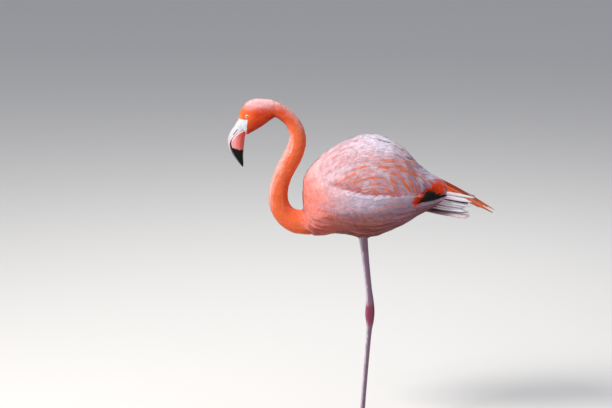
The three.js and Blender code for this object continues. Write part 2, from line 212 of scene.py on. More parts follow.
def mottledTint(tree, lumpSize, detail, darkest, palest, shade=1.0):
    # the painted colours under a mottle of one real size; shade darkens them further
    tint = addNode(tree, "ShaderNodeAttribute", {"attribute_name": "tint"})
    place = addNode(tree, "ShaderNodeTexCoord")
    lumps = addNode(tree, "ShaderNodeTexNoise", None, Vector=place.outputs["Object"], Scale=1 / lumpSize,
                    Detail=detail)
    mottle = addNode(tree, "ShaderNodeMapRange", None, Value=lumps.outputs["Fac"], From_Min=0.3,
                     From_Max=0.7, To_Min=darkest, To_Max=palest)
    both = addNode(tree, "ShaderNodeMath", {"operation": "MULTIPLY"}, in0=mottle.outputs[0], in1=shade)
    colour = addNode(tree, "ShaderNodeVectorMath", {"operation": "SCALE"}, in0=tint.outputs["Color"],
                     Scale=both.outputs[0])
    return colour.outputs[0], lumps.outputs["Fac"]


barbGap = 1.3 * mm                   # real barbs lie closer; this is as fine as shows
vaneMottle = 2.381 * mm


def featherVane(name, roughness, sheen):
    # Keratin vane: many fine barbs side by side, which scatter light softly with a pale sheen
    material, tree = startMaterial(name)
    vane = addNode(tree, "ShaderNodeUVMap", {"uv_map": "vane"})
    barbs = addNode(tree, "ShaderNodeTexWave", {"bands_direction": "DIAGONAL"},
                    Vector=vane.outputs["UV"], Scale=mm / barbGap * 0.5, Distortion=1.5, Detail=1.0,
                    Detail_Scale=0.6)
    lines = addNode(tree, "ShaderNodeMapRange", None, Value=barbs.outputs["Fac"], To_Min=0.9, To_Max=1.04)
    colour, _ = mottledTint(tree, vaneMottle, detail=2.0, darkest=0.84, palest=1.096, shade=lines.outputs[0])
    bump = addNode(tree, "ShaderNodeBump", None, Strength=0.25, Distance=0.15 * mm,
                   Height=barbs.outputs["Fac"])
    closeMaterial(tree, Base_Color=colour, Roughness=roughness, Sheen_Weight=sheen,
                  Sheen_Roughness=0.45, Specular_IOR_Level=0.18, Normal=bump.outputs["Normal"])
    return material


scuteSettings = {
    "plate": 3.4 * mm,               # length of one plate down the leg
    "cell": 2.2 * mm,                # small scutes round the joints and on the web
    "pore": 1.4 * mm, "bend": 9 * mm,
    "standingTop": 250 * mm,         # the standing leg ends this far above its ankle
}


def bareSkin(name):
    # Bare bird skin: broad plates down the legs, small scutes on the joints and webs, smooth on the face
    material, tree = startMaterial(name)
    scutes = addNode(tree, "ShaderNodeAttribute", {"attribute_name": "scutes"})
    parts = addNode(tree, "ShaderNodeSeparateColor", None, Color=scutes.outputs["Color"])
    place = addNode(tree, "ShaderNodeTexCoord")
    bend = addNode(tree, "ShaderNodeTexNoise", None, Vector=place.outputs["Object"],
                   Scale=1 / scuteSettings["bend"], Detail=1.0)
    plateWay = addNode(tree, "ShaderNodeMath", {"operation": "MULTIPLY_ADD"}, in0=bend.outputs["Fac"],
                       in1=1.6, in2=parts.outputs["Red"])
    plateRun = addNode(tree, "ShaderNodeMath", {"operation": "PINGPONG"}, in0=plateWay.outputs[0], in1=0.5)
    plate = addNode(tree, "ShaderNodeMapRange", None, Value=plateRun.outputs[0], From_Max=0.09)
    cells = addNode(tree, "ShaderNodeTexVoronoi", {"feature": "DISTANCE_TO_EDGE"},
                    Vector=place.outputs["Object"], Scale=1 / scuteSettings["cell"])
    cell = addNode(tree, "ShaderNodeMapRange", None, Value=cells.outputs["Distance"], From_Max=0.1)
    which = addNode(tree, "ShaderNodeMix", {"data_type": "FLOAT"}, in0=parts.outputs["Green"],
                    in2=cell.outputs[0], in3=plate.outputs[0])
    crease = addNode(tree, "ShaderNodeMix", {"data_type": "FLOAT"}, in0=parts.outputs["Blue"],
                     in2=1.0, in3=which.outputs[0])
    shade = addNode(tree, "ShaderNodeMapRange", None, Value=crease.outputs[0], To_Min=0.74, To_Max=1.0)
    colour, pores = mottledTint(tree, scuteSettings["pore"], detail=4.0, darkest=0.92, palest=1.05,
                                shade=shade.outputs[0])
    deep = addNode(tree, "ShaderNodeBump", None, Strength=0.6, Distance=0.35 * mm, Height=crease.outputs[0])
    bump = addNode(tree, "ShaderNodeBump", None, Strength=0.25, Distance=0.1 * mm, Height=pores,
                   Normal=deep.outputs["Normal"])
    closeMaterial(tree, Base_Color=colour, Roughness=0.5, Specular_IOR_Level=0.4,
                  Normal=bump.outputs["Normal"])
    return material


# regions of the plumage, each with the nodes that it covers
regions = {
    "head": ["head"],
    "neck": ["neck_upper", "neck_middle", "neck_lower"],
    "trunk": ["trunk"],
    "wing": ["wing_left", "wing_right"],
    "leg": ["tibia_left", "tibia_right", "tarsus_left", "tarsus_right"],
    "ankle": ["ankle_left", "ankle_right"],
    "foot": ["foot_left", "foot_right"],
}
headArea, neckArea, trunkArea, wingArea, legArea, _, footArea = range(len(regions))
fleshNodes = [node for nodes in regions.values() for node in nodes]
regionNumber = {node: number for number, nodes in enumerate(regions.values()) for node in nodes}
coatDepth = {"head": 0.7 * mm, "neck": 1.3 * mm, "trunk": 2.4 * mm, "wing": 2.4 * mm,
             "leg": 0, "ankle": 0, "foot": 0}

# the stretch of the folded leg that the flank feathers hide
tuckedLeg = {"node": "tarsus_right", "from": -28 * mm, "to": 112 * mm, "depth": 1.0 * mm}

lieSettings = {
    "grow": 0.4 * mm,                # closes the thin cuts between the solids
    "voxel": 4 * mm,
    "billReach": 14 * mm,            # the feathers start this near the bill
    "drapeCentre": (0.38, 0.43),     # the wing feathers turn round this place, as shares of the trunk
    "drapeLeast": 0.35, "drapeMore": 0.5,    # how far they turn, at the shoulder and further back
    "rumpLie": (0, 0.88, -0.48),
    "evenings": 10, "bodyEvenings": 40,      # the second gives a wide change from neck to body
}


def surfaceTree(nodes):
    points = []
    faces = []
    owners = []
    for number, node in enumerate(nodes):
        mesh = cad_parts[node].data
        start = len(points)
        points.extend(readPoints(mesh).tolist())
        faces.extend([[start + index for index in face.vertices] for face in mesh.polygons])
        owners.extend([number] * len(mesh.polygons))
    return BVHTree.FromPolygons(points, faces), owners


def gapTo(nodes, points):
    # distance from each point to the surface of the nodes
    tree, _ = surfaceTree(nodes)
    return np.array([tree.find_nearest(point)[3] for point in points.tolist()])


def nearestRegions(points):
    # the region of every point, and whether it is on the part of the leg that the flank feathers hide
    tree, owners = surfaceTree(fleshNodes)
    nodes = [fleshNodes[owners[tree.find_nearest(point)[2]]] for point in points.tolist()]
    tucked = (np.array([node == tuckedLeg["node"] for node in nodes])
              & (points[:, 1] > tuckedLeg["from"]) & (points[:, 1] < tuckedLeg["to"]))
    return np.where(tucked, trunkArea, np.array([regionNumber[node] for node in nodes])), tucked


def walkFrom(points, starts, links):
    # shortest way over the mesh from the starting points to every point
    ways = np.full(len(points), np.inf)
    ways[starts] = 0
    queue = [(0.0, int(start)) for start in starts]
    places = points.tolist()
    while queue:
        way, here = heapq.heappop(queue)
        if way > ways[here]:
            continue
        for there in links[here]:
            step = way + math.dist(places[here], places[there])
            if step < ways[there]:
                ways[there] = step
                heapq.heappush(queue, (step, there))
    return ways


def bodyShares(points):
    # place along the trunk from breast to rump and up it from belly to back, both 0 to 1
    return (points[:, 1] - trunkLow[1]) / trunkSize[1], (points[:, 2] - trunkLow[2]) / trunkSize[2]


wingEdge = {
    "along": [0.1, 0.26, 0.42, 0.66, 0.86, 1.0], "up": [0.63, 0.54, 0.485, 0.48, 0.47, 0.5],
    "starts": (0.12, 0.3), "aside": (30 * mm, 60 * mm),      # it shows from here back and outward
    "under": 3.2 * mm, "over": 1.2 * mm,     # the wing lies in behind its edge, the flank swells over it
    "bare": 2.5 * mm, "band": 15 * mm,       # no vane is rooted this far below the edge, or in a band above
    "overhang": 5 * mm,                      # the vanes of the wing end this far past the edge
}


def aboveEdge(points):
    # height above the lower edge of the folded wing in metres, and how much the edge counts there
    along, up = bodyShares(points)
    height = (up - np.interp(along, wingEdge["along"], wingEdge["up"])) * trunkSize[2]
    return height, ramp(along, *wingEdge["starts"]) * ramp(np.abs(points[:, 0]), *wingEdge["aside"])


loreSettings = {
    "below": 8.5 * mm,               # top of the bare face under the middle of the eye
    "top": -0.6 * mm, "foot": 3.2 * mm, "drop": 38 * mm,     # its back edge, from the eye's middle forward
    "corner": 4 * mm, "fade": 0.6 * mm, "wobble": 0.9 * mm,
}


def inLores(points):
    # 1 on the bare skin between the eye and the bill
    settings = loreSettings
    wobble = noiseAt(points, 300) * settings["wobble"]
    eye = eyeSpots[0]
    low = eye[2] - settings["below"] - points[:, 2] + wobble
    lean = settings["top"] + (settings["foot"] - settings["top"]) * np.clip(low / settings["drop"], 0, 1)
    back = eye[1] - lean - points[:, 1] + wobble
    corner = settings["corner"]
    inside = corner - np.hypot(np.maximum(corner - low, 0), np.maximum(corner - back, 0))
    return ramp(np.minimum(inside, np.minimum(low, back)), -settings["fade"], settings["fade"])


def fromDrape(points):
    # how far each point lies from the place that the wing feathers turn round, along and up
    return points[:, 1:] - trunkLow[1:] - trunkSize[1:] * np.array(lieSettings["drapeCentre"])


def drapeOverWing(points, normals, lie, region):
    # on the side of the folded wing the feathers turn down round one centre
    away = fromDrape(points)
    turned = np.column_stack([np.zeros(len(points)), away[:, 1], -away[:, 0]])
    along, _ = bodyShares(points)
    amount = lieSettings["drapeLeast"] + lieSettings["drapeMore"] * ramp(along, 0.35, 0.75)
    amount = amount * ramp(np.abs(normals[:, 0]), 0.15, 0.6)
    height, counts = aboveEdge(points)
    amount = amount * np.where(region == wingArea, 1 - counts, 0) + amount * counts * ramp(height, 0, 4 * mm)
    rump = ramp(along, 0.8, 0.92) * (region >= trunkArea) * (region <= wingArea)
    draped = unit(lie) * (1 - amount[:, None]) + unit(turned) * amount[:, None]
    return across(draped * (1 - rump[:, None]) + np.array(lieSettings["rumpLie"]) * rump[:, None], normals)


def neighboursIn(mesh):
    # the vertices that share a face with each vertex, and all such pairs as two lists
    links = [set() for _ in mesh.vertices]
    for face in mesh.polygons:
        for corner in face.vertices:
            links[corner].update(face.vertices)
    pairs = [(here, there) for here, near in enumerate(links) for there in near if there != here]
    return links, *np.array(pairs).T


def makeGuide():
    # the lie of the plumage over the whole bird, with what else the skin and the coats look up
    cast = castFrom("guide", fleshNodes, lieSettings["grow"])
    finishWith(cast, "REMESH", mode="VOXEL", voxel_size=lieSettings["voxel"])
    finishWith(cast, "SMOOTH", factor=0.5, iterations=6)
    points = readPoints(cast.data)
    normals = readPoints(cast.data, "normal")
    region, tucked = nearestRegions(points)
    links, here, there = neighboursIn(cast.data)
    near = np.bincount(here, minlength=len(points)) + 1
    gaps = gapTo(["bill_upper", "bill_lower"], points)
    ways = walkFrom(points, np.nonzero(gaps < lieSettings["billReach"])[0], links)

    def withNeighbours(values):
        total = values.copy()
        np.add.at(total, here, values[there])
        return total

    steps = points[there] - points[here]
    rises = (ways[there] - ways[here]) / np.maximum(np.sum(steps * steps, axis=1), 1e-12)
    lie = np.zeros_like(points)
    np.add.at(lie, here, steps * rises[:, None])
    lie = across(lie, normals)
    depth = np.where(tucked, tuckedLeg["depth"], np.array([coatDepth[name] for name in regions])[region])
    for _ in range(lieSettings["evenings"]):
        lie = across(withNeighbours(lie), normals)
        depth = np.where(region >= legArea, 0, withNeighbours(depth) / near)
    onBody = (region >= trunkArea).astype(float)
    for _ in range(lieSettings["bodyEvenings"]):
        onBody = withNeighbours(onBody) / near
    bpy.data.objects.remove(cast)
    return pointTree(points), {
        "region": region, "way": ways, "lie": drapeOverWing(points, normals, lie, region),
        "normal": normals, "depth": depth, "gap": gaps, "tucked": tucked, "onBody": onBody,
    }


guideTree, guide = makeGuide()
print("lie of the plumage:", len(guide["way"]), "places, the farthest", round(float(guide["way"].max()), 3),
      "m from the bill")


def lookUp(points, *keys):
    nearest = np.array([guideTree.find(point)[1] for point in points.tolist()])
    found = [guide[key][nearest] for key in keys]
    return found if len(found) > 1 else found[0]


# the markings are the same on the skin and on the feathers
markings = {
    # the darker red under the head is painted shade where it faces down
    "head": "#F0602C", "crown": "#F0C0C3", "cheek": "#D63E12", "forehead": "#F5884C", "jawUnderShade": "#A8200F",
    # the pale front of the neck is a painted highlight where it faces the light, and its deeper orange side
    # is painted shade where it turns away
    "neck": "#EE6C3E", "neckFrontHighlight": "#F3CCC1", "neckTop": "#F2B3AC", "neckShadedSide": "#E5552A",
    # the deep red under the lower neck and breast is painted shade where they face down
    "breast": "#F39388", "breastUnderShade": "#9E2617", "shoulder": "#EFC4C6", "mantle": "#E6E0EE",
    # the mauve of the rear wing and flanks is painted shade
    "wing": "#D6A3AA", "wingRearShade": "#967488", "flank": "#D9C6D8", "flankLowShade": "#A27F8B",
    # the lower flanks and the belly are darkened as painted shade, darkest where the belly faces down
    "belly": "#B46A64", "bellyUnderShade": "#66221E", "orange": "#EC7440", "rump": "#E03C08", "vent": "#8C5560",
    # the leg's dark mauve is partly painted shade, and its pale front is a painted highlight where it faces
    # the light
    "leg": "#7F6377", "legFrontHighlight": "#CDC0CC", "legFlush": "#86406B", "ankle": "#8A1F45",
    # a painted shadow runs along the lower edge of the folded wing
    "lore": "#CFD9DE", "edgeShade": "#B04E54", "slit": "#0E0B0D",
}
# dashes of orange on the folded wing: along, up, length, width (mm), tilt (degrees), strength
wingDashes = [
    (0.53, 0.76, 34, 6, -4, 0.9), (0.62, 0.76, 30, 5, 8, 0.8), (0.46, 0.66, 28, 6, -6, 0.8),
    (0.46, 0.60, 26, 5, -10, 0.8), (0.38, 0.53, 34, 4, -22, 0.9), (0.60, 0.70, 30, 7, 14, 0.8),
    (0.68, 0.60, 40, 8, 58, 1.0), (0.56, 0.53, 28, 6, 64, 0.8), (0.47, 0.51, 30, 14, 60, 0.6),
    (0.74, 0.68, 34, 6, 40, 0.7), (0.66, 0.45, 34, 7, 76, 0.6), (0.78, 0.50, 44, 6, 74, 0.5),
    (0.46, 0.425, 14, 5, -4, 0.9), (0.70, 0.78, 40, 5, 18, 0.6), (0.86, 0.42, 30, 8, 78, 0.8),
    (0.30, 0.66, 40, 5, -30, 0.7), (0.24, 0.60, 36, 5, -38, 0.7), (0.36, 0.74, 34, 5, -16, 0.6),
    (0.34, 0.60, 36, 5, -26, 0.7), (0.56, 0.82, 44, 5, 2, 0.7), (0.66, 0.73, 38, 6, 26, 0.9),
    (0.72, 0.60, 36, 6, 60, 0.8), (0.62, 0.50, 30, 6, 70, 0.8), (0.58, 0.64, 30, 6, 30, 0.8),
    (0.80, 0.62, 36, 5, 50, 0.5), (0.52, 0.47, 22, 7, 50, 0.7), (0.40, 0.64, 34, 5, -14, 0.7),
]
# the vivid coverts over the wing tips: along, up, length and width (mm), tilt (degrees)
covertDashes = [(0.88, 0.515, 62, 34, -32), (0.775, 0.43, 46, 24, -35), (0.84, 0.47, 60, 26, -30)]
# dark gaps along the back where the flight feathers show through: along, side, length and width (mm)
wingSlits = [(0.515, 28, 28, 4.4), (0.62, 28, 26, 3.4), (0.735, 25, 20, 3)]
streakAxis = 620 * mm                # the streaks of the body run round this height
# streaks in the markings: size along the feathers and across them, in metres or radians, and seed
streaks = {
    "patches": (30 * mm, 12 * mm, 2.0), "neck": (35 * mm, 1 / 5, 5.0), "leg": (50 * mm, 1 / 1.6, 41.0),
    "body": (60 * mm, 1 / 14, 9.0), "bodyWide": (110 * mm, 1 / 4.5, 13.0),
    "wing": (1 / 1.3, 5.5 * mm, 21.0), "wingWide": (1 / 1.2, 16 * mm, 27.0),
    "threads": (1 / 2.2, 2.2 * mm, 35.0),
}


def streaksAt(kind, along, acrossLie, shift=0):
    # noise drawn out along the feathers; the shift moves it on by whole lumps
    length, width, seed = streaks[kind]
    places = zip((along / length + shift).tolist(), (acrossLie / width).tolist())
    return np.array([noise.noise(Vector((*place, seed))) for place in places])


def dashAt(along, up, midAlong, midUp, length, width, tilt):
    # 1 in the middle of a slanting dash on the side of the body, 0 away from it
    angle = math.radians(tilt)
    offAlong = (along - midAlong) * trunkSize[1] / mm
    offUp = (up - midUp) * trunkSize[2] / mm
    run = offAlong * math.cos(angle) - offUp * math.sin(angle)
    drift = offAlong * math.sin(angle) + offUp * math.cos(angle)
    return np.exp(-(run / length * 2) ** 2 - (drift / width * 2) ** 2)


def headColours(points, normal, patches):
    # in each layer here and below, a ramp goes from where the colour starts to where it is full
    overEye = (points[:, 2] - eyeSpots[0][2]) / mm
    pastEye = (points[:, 1] - eyeSpots[0][1]) / mm
    return layered(
        markings, "head", len(points),
        ("cheek", ramp(pastEye - overEye * 0.5 + patches * 14, -4, 26) * 0.85),
        ("forehead", ramp(pastEye + patches * 5, -6, -18) * 0.8),
        ("crown", ramp(overEye - 0.05 * pastEye + patches * 10, 8, 34) * ramp(pastEye, -19, -2)),
        # painted shade where the head faces down
        ("jawUnderShade", ramp(normal[:, 2] + patches * 0.3, -0.2, -0.75) * ramp(pastEye, -4, 6) * 0.9),
        ("lore", inLores(points)))


def neckColours(way, normal, onBody, stray):
    # a painted highlight down the front, which faces the light, pale along the top, painted shade on the side
    # turned away from it, breast colours at the base
    facing = -normal[:, 1] * 0.8 + normal[:, 2] * 0.5
    fine = streaksAt("neck", way, np.arctan2(normal[:, 0], facing)) + stray * 0.12
    lowNeck = ramp(way + fine * 0.03, 0.42, 0.62)
    pale = ramp(facing + fine * 0.3, 0.25, 1.0) * ramp(way, 0.5, 0.38) * ramp(onBody, 0.3, 0.02)
    return layered(
        markings, "neck", len(way),
        # painted highlight where the neck faces the light, painted shade where it turns away
        ("neckFrontHighlight", pale * 0.9),
        ("neckShadedSide", ramp(-facing + fine * 0.5, 0.1, 0.9) * 0.9),
        ("neckTop", ramp(normal[:, 2] + fine * 0.3, 0.0, 0.75) * ramp(way, 0.34, 0.16)),
        ("breast", lowNeck * 0.45),
        # painted shade where the lower neck faces down
        ("breastUnderShade", lowNeck * ramp(-normal[:, 2] + fine * 0.4, 0.3, 0.9)))


def bodyColours(points, way, normal, fine):
    # a dull pink belly darkened with painted shade, lilac flanks with painted shade low down, salmon breast
    # and pale back
    along, up = bodyShares(points)
    onFlank = ramp(np.abs(points[:, 0]), 20 * mm, 60 * mm)
    below = -normal[:, 2] + fine * 0.4
    wide = streaksAt("bodyWide", way, np.arctan2(points[:, 0], points[:, 2] - streakAxis))
    front = ramp(along + wide * 0.08 + (0.35 - up) * 0.18, 0.36, 0.06)
    high = ramp(up + np.minimum(along, 0.4) * 0.35 + wide * 0.06, 0.48, 0.74)
    return layered(
        markings, "belly", len(points),
        # painted shade over the lower flanks
        ("flankLowShade", ramp(up + fine * 0.06, 0.16, 0.34) * onFlank),
        ("flank", ramp(up + fine * 0.06 - along * 0.1, 0.2, 0.4) * onFlank),
        # painted shade darkening the flanks towards the rear
        ("wingRearShade", ramp(along, 0.4, 0.8) * onFlank * 0.85),
        ("orange", ramp(fine, 0.12, 0.5) * 0.55 * ramp(up, 0.62, 0.3)),
        # painted shade where the belly faces down
        ("bellyUnderShade", ramp(below, 0.3, 0.85) * 0.85),
        ("vent", ramp(along, 0.82, 0.98) * 0.8),
        ("breast", front),
        ("orange", front * ramp(fine, 0.0, 0.5) * 0.6),
        # painted shade where the breast faces down
        ("breastUnderShade", front * ramp(below, 0.2, 0.8)),
        ("shoulder", high * ramp(along, 0.45, 0.15)),
        ("mantle", high * ramp(along + fine * 0.1, 0.16, 0.5)),
        ("mantle", high * ramp(fine, 0.1, 0.4) * ramp(along, 0.04, 0.2) * 0.6),
        ("rump", ramp(along, 0.86, 0.92) * ramp(up, 0.44, 0.5)))


def wingTurns(points):
    # turn round the drape centre, distance from it, and a shift that tells the wings apart
    arm = fromDrape(points)
    shift = np.where(points[:, 0] > 0, 0.0, 31.0)
    return np.arctan2(arm[:, 0], arm[:, 1]), np.hypot(arm[:, 0], arm[:, 1]), shift


def wingColours(points, normal, fine, threads, stray):
    # streaks that turn round the drape centre, orange dashes, dark slits along the back
    along, up = bodyShares(points)
    turns = wingTurns(points)
    narrow = streaksAt("wing", *turns) + stray * 0.05
    wide = streaksAt("wingWide", *turns) - stray * 0.05
    aside = np.abs(points[:, 0]) / mm
    height, counts = aboveEdge(points)
    dashes = []
    for *dash, strength in wingDashes:
        inDash = ramp(dashAt(along, up, *dash) + threads * 0.3, 0.1, 0.6)
        dashes.append(("orange", inDash * strength))
    for slitAlong, slitSide, length, width in wingSlits:
        run = (along - slitAlong) * trunkSize[1] / mm
        inSlit = np.exp(-(run / length * 2) ** 4 - ((aside - slitSide) / width * 2) ** 4)
        dashes.append(("slit", ramp(inSlit, 0.3, 0.5) * (normal[:, 2] > 0.2)))
    return layered(
        markings, "wing", len(points),
        # painted shade darkening the wing towards the rear and its lower edge
        ("wingRearShade", ramp(along + wide * 0.15 - up * 0.2, 0.25, 0.75)),
        ("mantle", ramp(up + narrow * 0.14, 0.82, 0.98) * 0.85),
        ("mantle", ramp(wide, 0.1, 0.45) * 0.4),
        ("mantle", ramp(threads, 0.0, 0.35) * (0.35 + 0.3 * ramp(up, 0.6, 0.85))),
        ("shoulder", ramp(along + up * 0.4, 0.62, 0.4) * ramp(-threads, -0.2, 0.2) * 0.8),
        ("orange", ramp(narrow + threads * 0.2, 0.12, 0.5) * 0.6
         * ramp(up, 0.88, 0.74) * ramp(along, 0.2, 0.4) * ramp(along, 0.9, 0.75)),
        *dashes,
        ("mantle", ramp(along + threads * 0.05, 0.76, 0.86) * ramp(up, 0.57, 0.64) * 0.9),
        # painted shadow above the lower edge of the folded wing
        ("edgeShade", ramp(height + fine * 8 * mm, 18 * mm, 1 * mm) * counts * 0.75))


def legColours(points, normal, patches):
    flush = streaksAt("leg", points[:, 2], np.arctan2(normal[:, 0], normal[:, 1]))
    joints = []
    for spot in ankleSpots:
        fromJoint = np.linalg.norm(points - spot, axis=1) + patches * 5 * mm + flush * 6 * mm
        joints.append(("ankle", ramp(fromJoint, 36 * mm, 16 * mm) * 0.85))
    return layered(
        markings, "leg", len(points),
        ("legFlush", ramp(flush, 0.0, 0.45) * ramp(points[:, 2], 0.2, 0.45) * 0.45),
        # painted highlight down the front of the leg, which faces the light
        ("legFrontHighlight", ramp(-normal[:, 1] + patches * 0.15, 0.15, 0.75) * 0.9),
        *joints)


def markingsAt(points, stray=0):
    # the colour at every point; stray shifts each vane on its own, so that the edges break up into streaks
    region, way, normal, onBody = lookUp(points, "region", "way", "normal", "onBody")
    patches = streaksAt("patches", way, points[:, 2]) + stray * 0.12
    colours = mixed(headColours(points, normal, patches), neckColours(way, normal, onBody, stray),
                    ramp(way + patches * 0.02, 0.055, 0.13))
    fine = streaksAt("body", way, np.arctan2(points[:, 0], points[:, 2] - streakAxis)) + stray * 0.05
    threads = streaksAt("threads", *wingTurns(points))
    height, counts = aboveEdge(points)
    onWing = (region == wingArea) * (1 - counts) + ramp(height, -1.5 * mm, 1.5 * mm) * counts
    body = mixed(bodyColours(points, way, normal, fine),
                 wingColours(points, normal, fine, threads, stray), onWing)
    along, up = bodyShares(points)
    for dash in covertDashes:
        inDash = dashAt(along, up, *dash) * (np.abs(points[:, 0]) > 12 * mm)
        body = mixed(body, linear(markings["rump"]), ramp(inDash + threads * 0.15 + stray * 0.04, 0.22, 0.5))
    colours = mixed(colours, body, ramp(onBody + stray * 0.08 + patches * 0.15, 0.15, 0.85))
    return mixed(colours, legColours(points, normal, patches), (region >= legArea).astype(float))


def scutesAt(points, normals):
    # red counts the plates down the leg, green tells plates from small scutes, blue is 0 on smooth skin
    region = lookUp(points, "region")
    heel = boxOf("tarsus_left")[0]
    standing = (points[:, 2] < ankleSpots[0][2] + scuteSettings["standingTop"]) & (points[:, 0] > 0)
    down = np.where(standing, points[:, 2], points[:, 1])
    onFoot = region == footArea
    down = np.where(onFoot & standing, np.hypot(points[:, 0] - heel[0], points[:, 1]), down)
    down = np.where(onFoot & ~standing, points[:, 2], down)
    front = np.where(standing, np.abs(normals[:, 1]), np.abs(normals[:, 2]))
    plates = np.where(onFoot, ramp(normals[:, 2], 0.5, 0.8) * standing, ramp(front, 0.35, 0.6))
    plates = plates * ramp(distanceTo(ankleSpots, points), 14 * mm, 30 * mm)
    return np.column_stack([down / scuteSettings["plate"], plates, (region >= legArea).astype(float)])


# one closed skin under the whole coat
skinSettings = {
    "grow": 0.4 * mm,                # closes the thin cuts between the solids
    "voxel": 1.5 * mm,
    "keep": 0.42,                    # share of faces kept where feathers hide it
    "billBlend": (2 * mm, 8 * mm),   # at the bill the skin keeps the CAD's surface, further off its depth
}
# a low swelling round each eye carries the lids
orbit = {"rim": 6.5 * mm, "reach": 17 * mm, "rise": 4.0 * mm, "slope": 0.2}


def swellOrbits(points):
    for eye in eyeSpots:
        side = np.sign(eye[0])
        aside = np.hypot(points[:, 1] - eye[1], points[:, 2] - eye[2])
        dome = abs(eye[0]) + orbit["rise"] - orbit["slope"] * np.maximum(aside - orbit["rim"], 0)
        own = points[:, 0] * side
        lift = np.where(own > 0, np.maximum(dome - own, 0), 0) * ramp(aside, orbit["reach"], orbit["rim"])
        points[:, 0] += lift * side


def makeSkin():
    skin = castFrom("skin", fleshNodes, skinSettings["grow"])
    finishWith(skin, "REMESH", mode="VOXEL", voxel_size=skinSettings["voxel"])
    finishWith(skin, "SMOOTH", factor=0.5, iterations=5)
    points = readPoints(skin.data)
    region, depth, normal, gap = lookUp(points, "region", "depth", "normal", "gap")
    height, counts = aboveEdge(points)
    inward = wingEdge["under"] * ramp(height, -2 * mm, 3 * mm) * ramp(height, 30 * mm, 8 * mm)
    outward = wingEdge["over"] * ramp(height, -26 * mm, -8 * mm) * ramp(height, 1 * mm, -3 * mm)
    depth = depth + (inward - outward) * counts * np.isin(region, (trunkArea, wingArea))
    points -= normal * (depth * ramp(gap, *skinSettings["billBlend"]))[:, None]
    swellOrbits(points)
    moveTo(skin.data, points)
    hidden = np.nonzero(np.isin(region, (neckArea, trunkArea, wingArea)))[0]
    group = skin.vertex_groups.new(name="hidden")
    group.add(hidden.tolist(), 1.0, "REPLACE")
    finishWith(skin, "SMOOTH", factor=0.5, iterations=8, vertex_group="hidden")
    finishWith(skin, "DECIMATE", ratio=skinSettings["keep"], vertex_group="hidden")
    points = readPoints(skin.data)
    paint(skin.data, markingsAt(points))
    paint(skin.data, scutesAt(points, readPoints(skin.data, "normal")), "scutes")
    dress(skin, bareSkin("bareSkin"))
    return skin


skin = makeSkin()
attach(skin, "root")
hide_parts(*fleshNodes)
print("skin:", len(skin.data.polygons), "faces")


def trianglesOf(mesh):
    mesh.calc_loop_triangles()
    flat = np.empty(len(mesh.loop_triangles) * 3, dtype=np.int32)
    mesh.loop_triangles.foreach_get("vertices", flat)
    return flat.reshape(-1, 3)


skinTriangles = trianglesOf(skin.data)
skinPoints = readPoints(skin.data)
skinNormals = readPoints(skin.data, "normal")
triangleMiddles = skinPoints[skinTriangles].mean(axis=1)
triangleRegion, triangleGap = lookUp(triangleMiddles, "region", "gap")
longestWay = float(guide["way"][guide["region"] <= wingArea].max())
# the vanes are walked over the feathered skin alone, so that none climbs a leg
feathered = skinTriangles[triangleRegion <= wingArea]
featheredTree = BVHTree.FromPolygons(skinPoints.tolist(), feathered.tolist())

vaneShape = {
    "places": [0, 0.3, 0.65, 1], "widths": [0.5, 0.95, 1.0, 0.86],
    # the strands are joined below and pointed at the tip
    "strandPlaces": [0, 0.5, 0.82, 1], "strandWidths": [1.3, 1.2, 0.95, 0.16],
    "round": 0.26,                   # the outer strands are shorter by this share
    "stagger": 0.08 * mm,            # every other strand lies this much higher
    "bodyShading": 0.72,             # share of the skin's own normal in the shading of a vane
    "lengthSpread": 0.16, "widthSpread": 0.12, "riseSpread": 0.16, "turnSpread": 0.1,
    "reachSpread": 0.06, "wanderSpread": 0.22, "strandShadeSpread": 0.035,
    "rowPower": 0.8, "risePower": 1.2,       # rows lie closer at the tip, which rises the most
    # vanes are painted darker towards the root, as shade under the vanes that lie over them, and a little
    # paler at the tip
    "rootShade": 0.9, "tipShade": 1.02,
    "followLie": 0.5,                # how fast a vane turns into the lie of the plumage
    "tintAt": 0.65,                  # share of its length where a strand takes its colour
    "bakePatch": 0.003, "bakeMargin": 0.02,
}
triesPerRoot = 4
wingCoat = {"gap": 4.4 * mm, "length": 48 * mm, "width": 12 * mm, "rise": 1.6 * mm, "sink": 0.6 * mm,
            "cup": 0.2, "strands": 5, "rows": 6, "ragged": 1.2, "shadeSpread": 0.045, "slot": "wing_feathers"}
coats = {
    "head_coat": {
        "gap": 1.5 * mm, "length": 6.5 * mm, "width": 3.8 * mm, "rise": 0.25 * mm, "sink": 0.15 * mm,
        "cup": 0.08, "strands": 3, "rows": 3, "ragged": 0.8, "shadeSpread": 0.04, "slot": "head_feathers"},
    "neck_coat": {
        "gap": 2.4 * mm, "length": 13 * mm, "width": 5.4 * mm, "rise": 0.55 * mm, "sink": 0.3 * mm,
        "cup": 0.14, "strands": 4, "rows": 4, "ragged": 0.8, "shadeSpread": 0.05, "slot": "neck_feathers"},
    "breast_coat": {
        "gap": 3.2 * mm, "length": 22 * mm, "width": 8.4 * mm, "rise": 1.05 * mm, "sink": 0.5 * mm,
        "cup": 0.2, "strands": 5, "rows": 4, "ragged": 1.0, "shadeSpread": 0.05, "slot": "body_feathers"},
    "body_coat": {
        "gap": 4.4 * mm, "length": 36 * mm, "width": 13 * mm, "rise": 1.5 * mm, "sink": 0.6 * mm,
        "cup": 0.2, "strands": 6, "rows": 5, "ragged": 1.2, "shadeSpread": 0.05, "slot": "body_feathers"},
    "wing_coat_left": wingCoat,
    "wing_coat_right": wingCoat,
}
